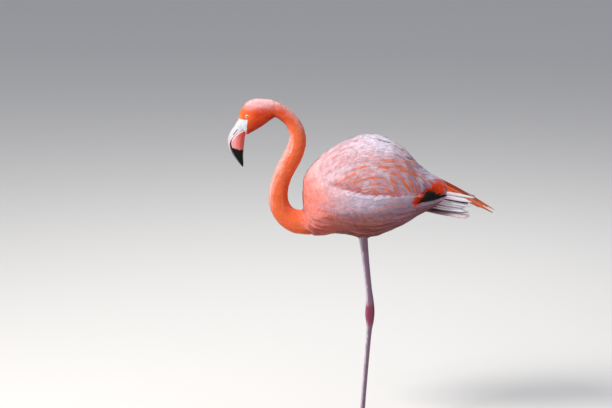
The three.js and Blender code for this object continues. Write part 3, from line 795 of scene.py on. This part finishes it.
coatEdges = {
    "breast": 0.2,                   # share of the trunk that the smaller breast feathers cover
    "bill": 2.5 * mm, "eye": 9 * mm, "leg": 3.5 * mm,        # no vane is rooted nearer than this
    "lids": 7 * mm, "fullLength": 22 * mm,   # the lids' reach; full length this far from them and the bill
    "headShortest": 0.55, "rumpShortest": 0.55,
}


def shorterAt(points):
    # vanes near the eyes, the bill and the rump are shorter
    along, _ = bodyShares(points)
    gap, region = lookUp(points, "gap", "region")
    clear = np.minimum(distanceTo(eyeSpots, points) - coatEdges["lids"], gap)
    head, rump = coatEdges["headShortest"], coatEdges["rumpShortest"]
    short = np.where(region == headArea, head + (1 - head) * ramp(clear, 0, coatEdges["fullLength"]), 1.0)
    return short * np.where(region >= trunkArea, 1 - (1 - rump) * ramp(along, 0.82, 1.0), 1.0)


def nearestOnSkin(points):
    found = [featheredTree.find_nearest(point) for point in points.tolist()]
    places = np.array([spot[0] for spot in found])
    corners = feathered[[spot[2] for spot in found]]
    return places, unit(skinNormals[corners].sum(axis=1))


def scatterRoots(allowed, gap):
    # places at least one gap apart over the allowed triangles
    corners = skinPoints[skinTriangles[allowed]]
    edges = corners[:, 1:] - corners[:, :1]
    areas = np.linalg.norm(np.cross(edges[:, 0], edges[:, 1]), axis=1) / 2
    tries = int(areas.sum() / gap ** 2 * triesPerRoot)
    chosen = rng.choice(len(areas), tries, p=areas / areas.sum())
    first, second = rng.random((2, tries))
    folded = first + second > 1
    first, second = np.where(folded, 1 - first, first), np.where(folded, 1 - second, second)
    points = corners[chosen, 0] + edges[chosen, 0] * first[:, None] + edges[chosen, 1] * second[:, None]
    tree = pointTree(points)
    taken = np.zeros(tries, dtype=bool)
    roots = []
    for number, point in enumerate(points):
        if not taken[number]:
            roots.append(number)
            for _, other, _ in tree.find_range(point, gap):
                taken[other] = True
    return points[roots]


def walkSpines(roots, flow, lengths, steps):
    # the middle lines of the vanes: places, normals and headings, each (steps + 1, vanes, 3)
    places, normals = nearestOnSkin(roots)
    spine, lifts, heads = [places], [normals], [across(flow, normals)]
    for _ in range(steps):
        spot, up = nearestOnSkin(spine[-1] + heads[-1] * (lengths / steps)[:, None])
        heads.append(across(heads[-1] + vaneShape["followLie"] * lookUp(spot, "lie"), up))
        spine.append(spot)
        lifts.append(up)
    return np.array(spine), np.array(lifts), np.array(heads)


def valueAt(lines, shares):
    # what the walked lines hold at a share of their length, one share per vane
    place = np.clip(shares, 0, 1) * (len(lines) - 1)
    low = np.minimum(place.astype(int), len(lines) - 2)
    rest = (place - low)[:, None]
    vanes = np.arange(lines.shape[1])
    return lines[low, vanes] * (1 - rest) + lines[low + 1, vanes] * rest


def planVanes(allowed, settings):
    # sizes and middle lines of the vanes, and the place that each has on the unrolled skin
    roots = scatterRoots(allowed, settings["gap"])
    way, flow = lookUp(roots, "way", "lie")
    count = len(roots)
    _, normals = nearestOnSkin(roots)
    flow = across(flow, normals)
    height, counts = aboveEdge(roots)
    toEdge = np.maximum(height, 0) / np.maximum(-flow[:, 2], 0.05) + wingEdge["overhang"]
    lengths = np.exp(rng.normal(0, vaneShape["lengthSpread"], count)) * settings["length"] * shorterAt(roots)
    lengths = np.where((height > 0) & (counts > 0.5), np.minimum(lengths, toEdge), lengths)
    full = lengths / settings["length"]
    widths = np.exp(rng.normal(0, vaneShape["widthSpread"], count)) * np.minimum(1, 0.4 + 0.6 * full)
    rises = np.exp(rng.normal(0, vaneShape["riseSpread"], count)) * np.minimum(1, full)
    turned = np.cross(normals, flow) * rng.normal(0, vaneShape["turnSpread"], count)[:, None]
    flow = across(flow + turned, normals)
    # unrolled by the way from the bill and the turn round the body
    turn = np.arctan2(normals[:, 0], np.sum(normals * np.cross(flow, [1.0, 0, 0]), axis=1))
    inside = 1 - 2 * vaneShape["bakeMargin"]
    home = 0.5 + inside * np.column_stack([way / longestWay - 0.5, turn / math.tau])
    lines = walkSpines(roots, flow, lengths, settings["rows"])
    return lengths, widths * settings["width"], rises * settings["rise"], lines, home


def coatPiece(name, sheets):
    # one mesh of all the strands, shaded mostly like the skin under them
    count, strands, rows = sheets["place"].shape[:3]
    quads = np.array([[0, 1, 3, 2]]) + 2 * np.arange(rows - 1)[:, None]
    starts = np.arange(count * strands) * rows * 2
    faces = (quads[None] + starts[:, None, None]).reshape(-1, 4)
    mesh = bpy.data.meshes.new(name)
    mesh.from_pydata(sheets["place"].reshape(-1, 3), [], faces)
    paint(mesh, np.clip(sheets["tint"].reshape(-1, 3), 0, 1))
    for mapName in ("vane", "OFBake"):
        layer = mesh.uv_layers.new(name=mapName)
        layer.data.foreach_set("uv", sheets[mapName].reshape(-1, 2)[faces.ravel()].ravel())
    piece = placeObject(name, mesh)
    dress(piece, plumage)
    share = vaneShape["bodyShading"]
    shading = readPoints(mesh, "normal") * (1 - share) + sheets["lift"].reshape(-1, 3) * share
    mesh.normals_split_custom_set_from_vertices(unit(shading))
    return piece


def growCoat(name, allowed, settings):
    # a vane is a few strands of barbs side by side, joined over each other at the root and loose at the tip
    lengths, widths, rises, (spine, lifts, heads), home = planVanes(allowed, settings)
    count = len(lengths)
    strands, rows, ragged, sink = (settings[key] for key in ("strands", "rows", "ragged", "sink"))
    root, tip = vaneShape["rootShade"], vaneShape["tipShade"]
    stray = rng.normal(0, 1, count)
    vaneShade = np.exp(rng.normal(0, settings["shadeSpread"], count))
    sheets = {key: np.empty((count, strands, rows + 1, 2, size))
              for key, size in (("place", 3), ("lift", 3), ("tint", 3), ("vane", 2), ("OFBake", 2))}
    for strand in range(strands):
        lean = (strand + 0.5) / strands * 2 - 1
        reach = 1 - vaneShape["round"] * lean ** 2 + rng.normal(0, vaneShape["reachSpread"] * ragged, count)
        wander = rng.normal(0, vaneShape["wanderSpread"] * ragged / strands, count)
        shade = vaneShade * np.exp(rng.normal(0, vaneShape["strandShadeSpread"], count))
        middle = vaneShape["tintAt"] * reach
        aside = np.cross(valueAt(heads, middle), valueAt(lifts, middle)) * (widths * lean / 2)[:, None]
        strandTint = markingsAt(valueAt(spine, middle) + aside, stray)
        for row in range(rows + 1):
            share = (row / rows) ** vaneShape["rowPower"]
            here = share * reach
            up = valueAt(lifts, here)
            sideways = np.cross(valueAt(heads, here), up)
            half = widths / 2 * np.interp(share, vaneShape["places"], vaneShape["widths"])
            own = half / strands * np.interp(share, vaneShape["strandPlaces"], vaneShape["strandWidths"])
            offset = half * (lean + wander * share)
            height = (-sink + (rises + sink) * share ** vaneShape["risePower"]
                      - half * settings["cup"] * lean ** 2 + vaneShape["stagger"] * (strand % 2))
            # painted shade towards the root
            rowShade = shade * (root + (tip - root) * share)
            sheets["lift"][:, strand, row] = up[:, None]
            sheets["tint"][:, strand, row] = (strandTint * rowShade[:, None])[:, None]
            spot = valueAt(spine, here) + up * height[:, None]
            for edge, side in enumerate((-1, 1)):
                rim = offset + own * side
                sheets["place"][:, strand, row, edge] = spot + sideways * rim[:, None]
                sheets["vane"][:, strand, row, edge] = np.column_stack([rim, lengths * share]) / mm
                patch = np.column_stack([np.full(count, share - 0.5), np.clip(rim / half, -1, 1) / 2])
                sheets["OFBake"][:, strand, row, edge] = home + patch * vaneShape["bakePatch"]
    piece = coatPiece(name, sheets)
    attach(piece, "root")
    print(name + ":", count, "vanes,", len(piece.data.polygons) * 2, "triangles")


def makeCoats():
    bare = inLores(triangleMiddles) > 0.5
    atEyes = distanceTo(eyeSpots, triangleMiddles) < coatEdges["eye"]
    legGap = gapTo([node for node in fleshNodes if regionNumber[node] >= legArea], triangleMiddles)
    lie, tucked = lookUp(triangleMiddles, "lie", "tucked")
    left = triangleMiddles[:, 0] > 0
    along, up = bodyShares(triangleMiddles)
    onBreast = along + (up - 0.3) * 0.12 < coatEdges["breast"]
    onTrunk = (triangleRegion == trunkArea) & ((legGap > coatEdges["leg"]) | tucked)
    allowed = {
        "head_coat": (triangleRegion == headArea) & (triangleGap > coatEdges["bill"]) & ~bare & ~atEyes,
        "neck_coat": triangleRegion == neckArea,
        "breast_coat": onTrunk & onBreast,
        "body_coat": onTrunk & ~onBreast,
        "wing_coat_left": (triangleRegion == wingArea) & left,
        "wing_coat_right": (triangleRegion == wingArea) & ~left,
    }
    height, counts = aboveEdge(triangleMiddles)
    atEdge = ((counts > 0.5) & (height > -wingEdge["bare"])
              & (height < np.maximum(-lie[:, 2], 0.12) * wingEdge["band"]))
    for name, settings in coats.items():
        growCoat(name, allowed[name] & ~atEdge, settings)


plumage = featherVane("plumage", 0.78, 0.1)
makeCoats()

quillThickness = 0.5 * mm
blankGrid = {"across": 6, "along": 18}
# Long feathers of the wing tips, the back and the tail. Roots and tips go from the first feather of a
# bunch to the last, as shares of its node's box: from the midline outward, along, up.
bunches = {
    "tail": {
        "roots": [(-0.5, -0.1, 0.6), (0.5, -0.1, 0.6)], "tips": [(-0.92, 0.94, 0.2), (0.92, 0.94, 0.2)],
        "count": 12, "width": 17 * mm, "bow": 4 * mm, "face": (0.25, 0, 1), "ragged": 1.0,
        "layer": 0.9 * mm, "colours": ("#A8787C", "#E3CDD3"), "slot": "flight_feathers", "vane": "pale"},
    "tertials": {
        "roots": [(0.95, -0.35, 1.1), (0.5, -0.15, 0.2)], "tips": [(0.1, 0.99, 0.55), (0.4, 0.7, 0.0)],
        "count": 15, "width": 8 * mm, "bow": 5 * mm, "face": (1, -0.1, 0.6), "ragged": 1.4,
        "layer": 1.3 * mm, "colours": ("#DBBFCA", "#FFFAFF"), "slot": "flight_feathers", "vane": "pale",
        "under": ("#5A2B2C", "#1A1214")},            # darker feathers in painted shadow colours show between the pale ones
    "plume": {
        "roots": [(0.75, -0.32, 1.22), (0.5, -0.25, 1.04)], "tips": [(0.25, 0.99, 0.02), (0.4, 0.62, 0.28)],
        "count": 7, "width": 7.5 * mm, "bow": 5 * mm, "face": (1, 0, 0.8), "ragged": 0.8, "taper": 0.7,
        "layer": 0.8 * mm, "colours": ("#DE4C1C", "#EF8154"), "slot": "plume", "vane": "plume"},
    "primaries": {
        "roots": [(1.0, 0.1, 0.05), (0.75, 0.25, 0.25)], "tips": [(0.1, 0.97, 0.42), (0.5, 0.5, 0.85)],
        "count": 6, "width": 7 * mm, "bow": 3 * mm, "face": (1, 0, 0.35), "ragged": 0.7, "taper": 0.5,
        "layer": 0.8 * mm, "colours": ("#0B090A", "#120E0F"), "slot": "flight_feathers", "vane": "dark"},
}
bunchSettings = {
    "tipScatter": np.array([0.5, 3, 0.8]) * mm,
    "layers": 3,                             # the feathers lie in turn on this many layers
    "underLayer": -1.5, "underShorter": 0.08,
}
longFeather = {
    "tipStarts": 0.6, "tipLength": 0.405, "tipPower": 2.2, "cup": 0.25,
    "raggedSide": 0.05, "raggedTip": 0.016,
    # the last number darkens a feather's edges where the next one overlaps it: painted shadow
    "shadeSpread": 0.08, "streakSpread": 0.06, "shaftShade": 0.12, "overlapShadow": 0.55,
}


def featherBlank():
    # one flat vane on a fine grid: across from -1 to 1, along from 0 to 1
    bpy.ops.mesh.primitive_grid_add(x_subdivisions=blankGrid["across"],
                                    y_subdivisions=blankGrid["along"], size=2)
    blank = bpy.context.view_layer.objects.active
    blank.name = "blank"
    points = readPoints(blank.data)
    points[:, 1] = (points[:, 1] + 1) / 2
    moveTo(blank.data, points)
    return blank


def layFeather(blank, name, root, tip, face, settings, colours):
    # a copy of the blank, bent along its own way from root to tip
    lean, share, _ = readPoints(blank.data).T
    ragged = settings["ragged"]
    column = np.round((lean + 1) / 2 * blankGrid["across"]).astype(int)
    row = np.round(share * blankGrid["along"]).astype(int)
    wander = rng.normal(0, 1, (blankGrid["across"] + 1, blankGrid["along"] + 1))[column, row]
    heading = tip - root
    length = np.linalg.norm(heading)
    face = unit(face - heading * np.dot(face, heading) / length ** 2)
    sideways = unit(np.cross(heading, face))
    intoTip = np.clip((share - longFeather["tipStarts"]) / longFeather["tipLength"], 0, 1)
    outline = ((0.2 + 0.8 * ramp(share, 0.1, 0.5)) * np.sqrt(1 - intoTip ** longFeather["tipPower"])
               * (1 + longFeather["raggedSide"] * ragged * wander * ramp(share, 0.3, 0.7)))
    half = settings["width"] / 2 * outline
    bend = 4 * share * (1 - share) * settings["bow"] - lean ** 2 * half * longFeather["cup"]
    shaft = np.abs(lean) < 0.1
    ridge = shaft * quillThickness * (1 - share)
    frayed = longFeather["raggedTip"] * ragged * np.where(np.abs(lean) > 0.2, wander, 0)
    run = share + frayed * ramp(share, 0.7, 0.95)
    mesh = blank.data.copy()
    moveTo(mesh, root + heading * run[:, None] + face * (bend + ridge)[:, None]
           + sideways * (lean * half)[:, None])
    shade = np.exp(rng.normal(0, longFeather["shadeSpread"]))
    barbShade = longFeather["streakSpread"] * rng.normal(0, 1, blankGrid["across"] + 1)[column]
    # painted shadow along the overlapped edges, more on one side
    inOverlapShadow = ramp(np.abs(lean), 0.6, 1) * ramp(share, 0.3, 0.8) * (0.4 + 0.6 * (lean > 0))
    shade = shade * (1 + barbShade - longFeather["shaftShade"] * shaft)
    shade = shade * (1 - longFeather["overlapShadow"] * inOverlapShadow)
    tint = mixed(linear(colours[0]), linear(colours[1]), ramp(share, 0.2, 0.95))
    paint(mesh, np.clip(tint * shade[:, None], 0, 1))
    vane = mesh.uv_layers.new(name="vane")
    corners = np.empty(len(mesh.loops), dtype=np.int32)
    mesh.loops.foreach_get("vertex_index", corners)
    layout = np.column_stack([lean * half, share * length]) / mm
    vane.data.foreach_set("uv", layout[corners].ravel())
    return placeObject(name, mesh)


def inBox(node, ends, share, side):
    # a place between two shares of a node's box; the first share runs from the midline outward
    low, high = boxOf(node)
    shares = np.array(ends[0]) * (1 - share) + np.array(ends[1]) * share
    place = low + (high - low) * shares
    inner, outer = sorted((abs(low[0]), abs(high[0])))
    place[0] = side * (inner + (outer - inner) * shares[0]) if side else high[0] * shares[0]
    return place


def makeBunch(blank, name, node, side, settings):
    laid = []
    for number in range(settings["count"]):
        share = number / (settings["count"] - 1)
        hiddenOne = "under" in settings and number % 2 == 1
        root = inBox(node, settings["roots"], share, side)
        tip = inBox(node, settings["tips"], share ** settings.get("taper", 1), side)
        tip = tip + rng.normal(0, 1, 3) * bunchSettings["tipScatter"]
        tip = tip + (root - tip) * bunchSettings["underShorter"] * hiddenOne
        face = np.array(settings["face"], dtype=float)
        face[0] *= side if side else 2 * share - 1
        layer = bunchSettings["underLayer"] if hiddenOne else number // 2 % bunchSettings["layers"]
        lift = unit(face) * layer * settings["layer"]
        # the feathers laid under take the dark colours: painted shadow in the gaps between the pale ones
        colours = settings["under" if hiddenOne else "colours"]
        laid.append(layFeather(blank, name, root + lift, tip + lift, unit(face), settings, colours))
    piece = joinAs(name, laid)
    finishWith(piece, "SOLIDIFY", thickness=quillThickness, offset=0)
    dress(piece, flightVanes[settings["vane"]])
    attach(piece, "root")
    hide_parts(node)


flightVanes = {
    "pale": featherVane("flightVane", 0.6, 0.15),
    "dark": featherVane("darkVane", 0.55, 0.0),          # melanin-black vanes, stiffer and without bloom
    "plume": featherVane("plumeVane", 0.7, 0.25),
}


def makeLongFeathers():
    blank = featherBlank()
    makeBunch(blank, "tail_feathers", "tail", 0, bunches["tail"])
    for label, side in sides.items():
        for bunch in ("tertials", "plume", "primaries"):
            node = bunch + "_" + label
            makeBunch(blank, node + "_feathers", node, side, bunches[bunch])
    bpy.data.objects.remove(blank)


makeLongFeathers()
print("long feathers laid")

billNodes = ["bill_upper", "bill_lower"]
billSettings = {
    "voxel": 0.5 * mm, "smoothing": 36,
    "upper": "#CFCDD2", "upperWarm": "#D2BCC8", "lower": "#D64C44", "lowerPale": "#F0A09C",
    # rim is a bluish grey, used for a band above the black and as a painted highlight on the black tip
    "black": "#020203", "edge": "#E3CEC8", "rim": "#74788A", "lip": "#E9DCDC", "nostrilShade": "#3A2A2C",
    "line": (0.425, 0.365),          # height of the black tip in front and behind, as shares of the bill
    "culmen": 0.275, "gape": 0.62,   # where the black of the upper bill ends on the ridge and along the gape
    "nostril": [(0.51, 0.80), (0.30, 0.69)],   # its ends from above to below: shares along and up the bill
    "nostrilWidth": 0.9 * mm, "nostrilDepth": 1.1 * mm,
}


def billHorn():
    # Horn sheath: hard keratin, smooth and satin, with a faint mottle
    material, tree = startMaterial("billHorn")
    colour, grain = mottledTint(tree, 2.5 * mm, detail=4.0, darkest=0.9, palest=1.06)
    rough = addNode(tree, "ShaderNodeMapRange", None, Value=grain, To_Min=0.26, To_Max=0.42)
    bump = addNode(tree, "ShaderNodeBump", None, Strength=0.2, Distance=0.15 * mm, Height=grain)
    closeMaterial(tree, Base_Color=colour, Roughness=rough.outputs[0], IOR=1.54, Specular_IOR_Level=0.16,
                  Coat_Weight=0.02, Coat_Roughness=0.25, Normal=bump.outputs["Normal"])
    return material


def cutNostril(points, normals, places, size):
    # presses a slit into each side and returns how deep each point lies in it, 0 to 1
    start, end = (np.array(spot) for spot in billSettings["nostril"])
    reach = (end - start) * size
    off = (places - start) * size
    run = np.clip(off @ reach / (reach @ reach), 0, 1)
    gap = np.linalg.norm(off - run[:, None] * reach, axis=1)
    slit = np.exp(-(gap / billSettings["nostrilWidth"]) ** 2) * (np.abs(normals[:, 0]) > 0.25)
    points -= normals * (slit * billSettings["nostrilDepth"])[:, None]
    return slit


def makeBill():
    boxes = np.array([boxOf(node) for node in billNodes])
    low, high = boxes[:, 0].min(axis=0)[1:], boxes[:, 1].max(axis=0)[1:]
    horn = billHorn()
    for node, other in (billNodes, billNodes[::-1]):
        piece = castFrom(node + "_horn", [node])
        finishWith(piece, "REMESH", mode="VOXEL", voxel_size=billSettings["voxel"])
        finishWith(piece, "SMOOTH", factor=0.5, iterations=billSettings["smoothing"])
        points = readPoints(piece.data)
        normals = readPoints(piece.data, "normal")
        places = (points[:, 1:] - low) / (high - low)
        along, up = places.T
        wobble = noiseAt(points, 260)
        if node == "bill_upper":
            slit = cutNostril(points, normals, places, high - low)
            nearGape = ramp(gapTo([other], points) + wobble * 0.4 * mm, 10 * mm, 0.5 * mm) ** 1.6
            line = billSettings["culmen"] + (billSettings["gape"] - billSettings["culmen"]) * nearGape
            layers = [("upperWarm", ramp(up + wobble * 0.05, 0.85, 0.5)), ("nostrilShade", slit * 1.2),
                      ("rim", ramp(line + 0.05 - up, 0, 0.06) * 0.5)]
        else:
            front, back = billSettings["line"]
            line = front + (back - front) * ramp(along, 0.1, 0.85)
            nearGape = ramp(gapTo([other], points) + wobble * mm, 3.4 * mm, 2.0 * mm)
            layers = [("lowerPale", ramp(along + wobble * 0.1, 0.85, 0.25) * 0.85),
                      ("edge", ramp(along, 0.9, 0.99)), ("lip", nearGape * ramp(up, 0.5, 0.62))]
        dark = ramp(line - up + wobble * 0.012, -0.012, 0.012)
        layers.append(("black", dark))
        # a painted highlight in bluish grey on the black tip where it faces forward
        if node == "bill_upper":
            facing = -normals[:, 1] * 0.85 - normals[:, 2] * 0.5
            layers.append(("rim", ramp(facing, 0.5, 0.8) * dark * 0.85))
        moveTo(piece.data, points)
        paint(piece.data, layered(billSettings, node[len("bill_"):], len(points), *layers))
        dress(piece, horn)
        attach(piece, "root")
        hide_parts(node)


makeBill()
print("bill shaped")

eyeSettings = {
    "gaze": (-0.12, 0.02),           # backward and upward, for one outward
    "pupilRim": 16, "iris": 38,      # degrees from the middle of the eye
    "bulge": 0.5 * mm, "segments": 48, "rings": 60,
    "innerIris": "#E9DE9C", "outerIris": "#D2B65A", "pupil": "#0B0A0A", "white": "#6B4A3A",
}
lidSettings = {
    "gap": 0.35 * mm, "thickness": 0.45 * mm, "segments": 40, "rings": 48,
    "opening": (37, 31), "drop": 2.5,          # half the opening along and across, and its drop, degrees
    "slant": (0, -0.5, -0.86),                 # the long way of the opening
    "back": 0.12,                              # cosine of where the shell ends, seen from the gaze
    "rim": 0.2 * mm,                           # the edge of the opening stands up by this
    "lid": "#D8B49E", "feathers": markings["head"],
}


def wetEye():
    # Cornea: clear and wet, so it mirrors the lights sharply over the iris
    material, tree = startMaterial("wetEye")
    colour, _ = mottledTint(tree, 0.6 * mm, detail=2.0, darkest=0.925, palest=1.025)
    closeMaterial(tree, Base_Color=colour, Roughness=0.08, IOR=1.376, Coat_Weight=1.0, Coat_Roughness=0.02)
    return material


def addBall(name, centre, radius, gaze, settings):
    # a sphere with its pole along the gaze
    turn = Vector(gaze).to_track_quat("Z", "Y").to_euler()
    bpy.ops.mesh.primitive_uv_sphere_add(segments=settings["segments"], ring_count=settings["rings"],
                                         radius=radius, location=centre, rotation=turn)
    ball = bpy.context.view_layer.objects.active
    ball.name = name
    bpy.ops.object.transform_apply(location=True, rotation=True, scale=True)
    return ball


def fromGaze(away, gaze):
    return np.degrees(np.arccos(np.clip(away @ gaze, -1, 1)))


def makeEyeball(node, centre, radius, gaze, wet):
    eye = addBall(node + "_ball", centre, radius, gaze, eyeSettings)
    points = readPoints(eye.data)
    away = unit(points - centre)
    angle = fromGaze(away, gaze)
    iris = eyeSettings["iris"]
    points += away * (eyeSettings["bulge"] * ramp(angle, iris + 4, 8))[:, None]
    moveTo(eye.data, points)
    paint(eye.data, layered(eyeSettings, "white", len(points),
                            ("outerIris", (angle < iris).astype(float)),
                            ("innerIris", ramp(angle, 32, 18)),
                            ("pupil", (angle < eyeSettings["pupilRim"]).astype(float))))
    dress(eye, wet)
    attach(eye, "root")
    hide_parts(node)


def makeLids(name, centre, radius, gaze, lidSkin):
    # a shell round the front of the eye with an oval opening in it
    lids = addBall(name, centre, radius + lidSettings["gap"], gaze, lidSettings)
    away = unit(readPoints(lids.data) - centre)
    forward = unit(np.cross(gaze, np.array(lidSettings["slant"])))
    upward = unit(np.cross(forward, gaze))
    aside = np.degrees(np.arcsin(np.clip(away @ np.cross(upward, gaze), -1, 1)))
    above = np.degrees(np.arcsin(np.clip(away @ upward, -1, 1))) + lidSettings["drop"]
    wide, tall = lidSettings["opening"]
    opening = np.abs(aside / wide) ** 1.6 + np.abs(above / tall) ** 2
    facing = away @ gaze
    cut = (facing < lidSettings["back"]) | (opening < 1)
    bpy.ops.object.mode_set(mode="EDIT")
    bpy.ops.mesh.select_mode(type="VERT")
    bpy.ops.mesh.select_all(action="DESELECT")
    bpy.ops.object.mode_set(mode="OBJECT")
    lids.data.vertices.foreach_set("select", cut)
    bpy.ops.object.mode_set(mode="EDIT")
    bpy.ops.mesh.delete(type="VERT")
    bpy.ops.object.mode_set(mode="OBJECT")
    points = readPoints(lids.data)
    lift = lidSettings["rim"] * np.exp(-((opening[~cut] - 1.15) / 0.2) ** 2)
    moveTo(lids.data, points + unit(points - centre) * lift[:, None])
    finishWith(lids, "SOLIDIFY", thickness=lidSettings["thickness"], offset=-1)
    finishWith(lids, "SUBSURF", levels=1, render_levels=1)
    angle = fromGaze(unit(readPoints(lids.data) - centre), gaze)
    paint(lids.data, layered(lidSettings, "lid", len(angle), ("feathers", ramp(angle, 37, 43))))
    dress(lids, lidSkin)
    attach(lids, "root")


def makeEyes():
    wet = wetEye()
    lidSkin = bareSkin("lidSkin")
    for label, side in sides.items():
        node = "eye_" + label
        low, high = boxOf(node)
        centre = (low + high) / 2
        radius = (high - low)[2] / 2
        gaze = unit(np.array([side, *eyeSettings["gaze"]]))
        makeEyeball(node, centre, radius, gaze, wet)
        makeLids("eyelids_" + label, centre, radius, gaze, lidSkin)


makeEyes()
print("eyes set")


def clawHorn():
    # Claw: dark keratin worn smooth, with a dull gloss
    material, tree = startMaterial("clawHorn")
    place = addNode(tree, "ShaderNodeTexCoord")
    grain = addNode(tree, "ShaderNodeTexNoise", None, Vector=place.outputs["Object"],
                    Scale=1 / (1.5 * mm), Detail=3.0)
    colour = addNode(tree, "ShaderNodeMix", {"data_type": "RGBA"}, in0=grain.outputs["Fac"],
                     in6=(*linear("#2B2223"), 1), in7=(*linear("#5A4A48"), 1))
    bump = addNode(tree, "ShaderNodeBump", None, Strength=0.3, Distance=0.1 * mm, Height=grain.outputs["Fac"])
    closeMaterial(tree, Base_Color=colour.outputs[2], Roughness=0.38, IOR=1.54, Normal=bump.outputs["Normal"])
    return material


def makeClaws():
    horn = clawHorn()
    for label in sides:
        nodes = ["claw_" + label + "_" + toe for toe in ("outer", "middle", "inner", "hind")]
        piece = castFrom("claws_" + label, nodes)
        finishWith(piece, "SUBSURF", levels=2, render_levels=2)
        dress(piece, horn)
        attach(piece, "root")
        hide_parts(*nodes)


makeClaws()
print("claws shaped")

cameraSettings = {
    "target": (0, -0.1379, 0.585), "distance": 9.0,
    "height": 13,                    # degrees above the level
    "lens": 211.76, "sensor": 36, "farthest": 100,
}
studio = {
    "floorSize": 60, "floor": "#D9D8D4", "cloud": 333.3 * mm,
    "sky": "#E4E8F6", "skyStrength": 0.46, "aim": (0, -0.03, 0.6),
    "lamps": {                       # place, power, size and colour
        "keyLight": ((1.5, -2.3, 3.3), 165, 1.1, "#FFFAF4"),
        "fillLight": ((3.2, 1.2, 1.4), 9, 2.4, "#EEF0FF"),
        "rimLight": ((-1.8, 0.2, 2.8), 45, 1.2, "#FFFFFF"),
    },
}


def pointAt(holder, place, target):
    holder.location = place
    holder.rotation_euler = (Vector(target) - Vector(place)).to_track_quat("-Z", "Y").to_euler()


def makeCamera():
    settings = cameraSettings
    tilt = math.radians(settings["height"])
    lens = bpy.data.cameras.new("camera")
    lens.lens = settings["lens"]
    lens.sensor_width = settings["sensor"]
    lens.clip_end = settings["farthest"]
    camera = placeObject("camera", lens)
    away = Vector((math.cos(tilt), 0, math.sin(tilt))) * settings["distance"]
    pointAt(camera, Vector(settings["target"]) + away, settings["target"])
    bpy.context.scene.camera = camera


def makeStage():
    bpy.ops.mesh.primitive_plane_add(size=studio["floorSize"], location=(0, 0, 0))
    floor = bpy.context.view_layer.objects.active
    floor.name = "floor"
    # Painted board: pale and matt
    material, tree = startMaterial("paleFloor")
    place = addNode(tree, "ShaderNodeTexCoord")
    cloud = addNode(tree, "ShaderNodeTexNoise", None, Vector=place.outputs["Object"],
                    Scale=1 / studio["cloud"], Detail=3.0)
    rough = addNode(tree, "ShaderNodeMapRange", None, Value=cloud.outputs["Fac"], To_Min=0.75, To_Max=0.85)
    closeMaterial(tree, Base_Color=(*linear(studio["floor"]), 1), Roughness=rough.outputs[0])
    floor.data.materials.append(material)
    world = bpy.data.worlds.new("studio")
    bpy.context.scene.world = world
    world.use_nodes = True
    sky = world.node_tree.nodes["Background"].inputs
    sky["Color"].default_value = (*linear(studio["sky"]), 1)
    sky["Strength"].default_value = studio["skyStrength"]
    for name, (place, power, size, colour) in studio["lamps"].items():
        lamp = bpy.data.lights.new(name, "AREA")
        lamp.energy = power
        lamp.size = size
        lamp.color = tuple(linear(colour))
        pointAt(placeObject(name, lamp), place, studio["aim"])


makeCamera()
makeStage()
bpy.context.scene.view_settings.view_transform = "Standard"
